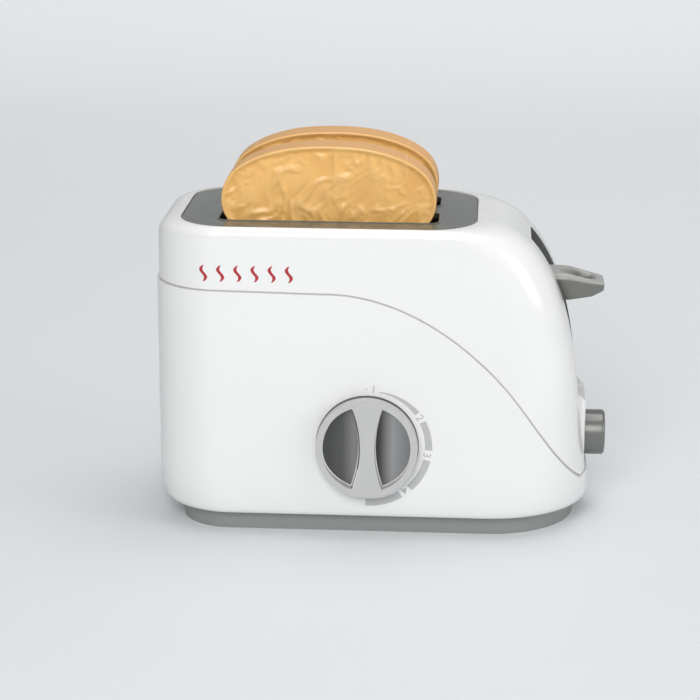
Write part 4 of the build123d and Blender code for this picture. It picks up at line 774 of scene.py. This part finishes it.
def embossed_slice(node_name, body, seed):
    """A slice's outer skin, cut into a fine grid and embossed on both faces."""
    piece = merged_copy(node_name)
    delete_inner_skin(piece)
    low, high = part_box(node_name)
    front, rear = low[1], high[1]
    outline = [v.co for v in piece.verts if front + on_face < v.co.y < rear - on_face]
    for axis, normal in ((0, (1, 0, 0)), (2, (0, 0, 1))):
        cut = low[axis] + emboss_step / 2
        while cut < high[axis]:
            cut_across(piece, [cut * part for part in normal], normal)
            cut += emboss_step
    outline_tree = KDTree(len(outline))
    for count, place in enumerate(outline):
        outline_tree.insert((place.x, 0, place.z), count)
    outline_tree.balance()
    height_layer = piece.verts.layers.float.new("fold_height")
    crust_layer = piece.verts.layers.float.new("crust_edge")
    for vert in piece.verts:
        on_front = abs(vert.co.y - front) < on_face
        on_rear = abs(vert.co.y - rear) < on_face
        if not (on_front or on_rear):
            from_face = min(vert.co.y - front, rear - vert.co.y)
            vert[crust_layer] = smooth_step(from_face / crust_round)
            vert[height_layer] = crust_height
            continue
        from_edge = outline_tree.find((vert.co.x, 0, vert.co.z))[2]
        inside = smooth_step((from_edge - rim_width) / rim_slope)
        side_seed = seed if on_front else seed + 40
        fold = min(1.0, fold_relief(vert.co.x * 1000, vert.co.z * 1000, side_seed))
        # The fold height also sets the crumb colour: painted shade in the valleys.
        vert[height_layer] = rim_tone + (fold - rim_tone) * inside
        sink = inside * (rim_depth + fold_depth * (1 - fold))
        vert.co.y += sink if on_front else -sink
    slice_finish = put_on(piece, node_name + "_finish", body, bread, sharp=70.0)
    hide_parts(node_name)


embossed_slice("bread_slice_front", "front_slice", 2.0)
embossed_slice("bread_slice_rear", "rear_slice", 17.0)

# ---------------------------------------------------------------- rods, screws and contacts
# Bright steel: the ground rods, the plated screws, the cell contacts and the dial's click spring.
steel = plastic("spring_steel", (0.45, 0.45, 0.46), 0.3, grain_depth=0.1, metallic=1.0)
for steel_name in (
    "guide_rods", "catch_screw", "detent_spring", "switch_screws", "battery_cover_screw",
    "battery_contacts", "shell_screws", "base_screws", "plate_screws", "frame_screws",
):
    dress(steel_name, steel)

# ---------------------------------------------------------------- coil springs
# Two long springs of drawn wire that lift the carriage, and a short one behind the button. Each
# is a smooth-shaded copy that rides on the housing, with a mesh of its own.
travel = 0.040
press = 0.0035
for spring_name, joint, axis, stroke in (
    ("lift_springs", "carriage_lift", 2, travel), ("button_spring", "button_press", 0, press),
):
    coil = finished_copy(spring_name, "housing", steel, flat_join=0, sharp=180.0)
    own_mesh(coil)

# ---------------------------------------------------------------- leaf catch and start contact
# The catch is a steel leaf screwed to the frame at its foot; its upper part, which the button's
# stem pushes to the left, is cut across into bands, and the leaf is baked in place unbent. The
# start contact is a soft bronze blade under the striker, with a mesh of its own.
catch_foot = 0.028
stem_height = 0.0378
bends = 10

leaf = merged_copy("catch_spring", flat_join=0)
for count in range(bends + 1):
    cut_across(leaf, (0, 0, catch_foot + (stem_height - catch_foot) * count / bends), (0, 0, 1))
catch_leaf = put_on(leaf, "catch_spring_finish", None, steel)
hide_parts("catch_spring")
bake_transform(catch_leaf)
bronze = plastic("contact_bronze", (0.62, 0.40, 0.20), 0.3, grain_depth=0.1, metallic=1.0)
start_blade = finished_copy("start_contact", "housing", bronze)
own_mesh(start_blade)

# ---------------------------------------------------------------- cells, board and speaker
# Two sleeved cells in the base, the small sound board with its parts, and the black speaker.
# Each cell's sleeve stops short of its bare steel ends, and a pale band marks the positive end.
sleeve_blue = (0.03, 0.09, 0.24)
sleeve_pale = (0.62, 0.60, 0.52)
bare_steel = (0.5, 0.5, 0.5)
cell_bands = ((0.0, bare_steel), (0.03, sleeve_blue), (0.72, sleeve_pale), (0.96, bare_steel))

cell_sleeve = plastic("cell_sleeve", sleeve_blue, 0.3)
tree = cell_sleeve.node_tree
cell_low, cell_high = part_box("batteries")
share = mapped(tree, along_axis(tree, "X"), cell_low[0], cell_high[0])
banded = ramp(tree, share, cell_bands, stepped=True)
tree.links.new(banded, skin_of(cell_sleeve).inputs["Colour"])
dress("batteries", cell_sleeve)
board_green = plastic("board_green", (0.02, 0.12, 0.05), 0.4)
dress("circuit_board", board_green)
for black_name in ("board_components", "speaker"):
    dress(black_name, well_black)
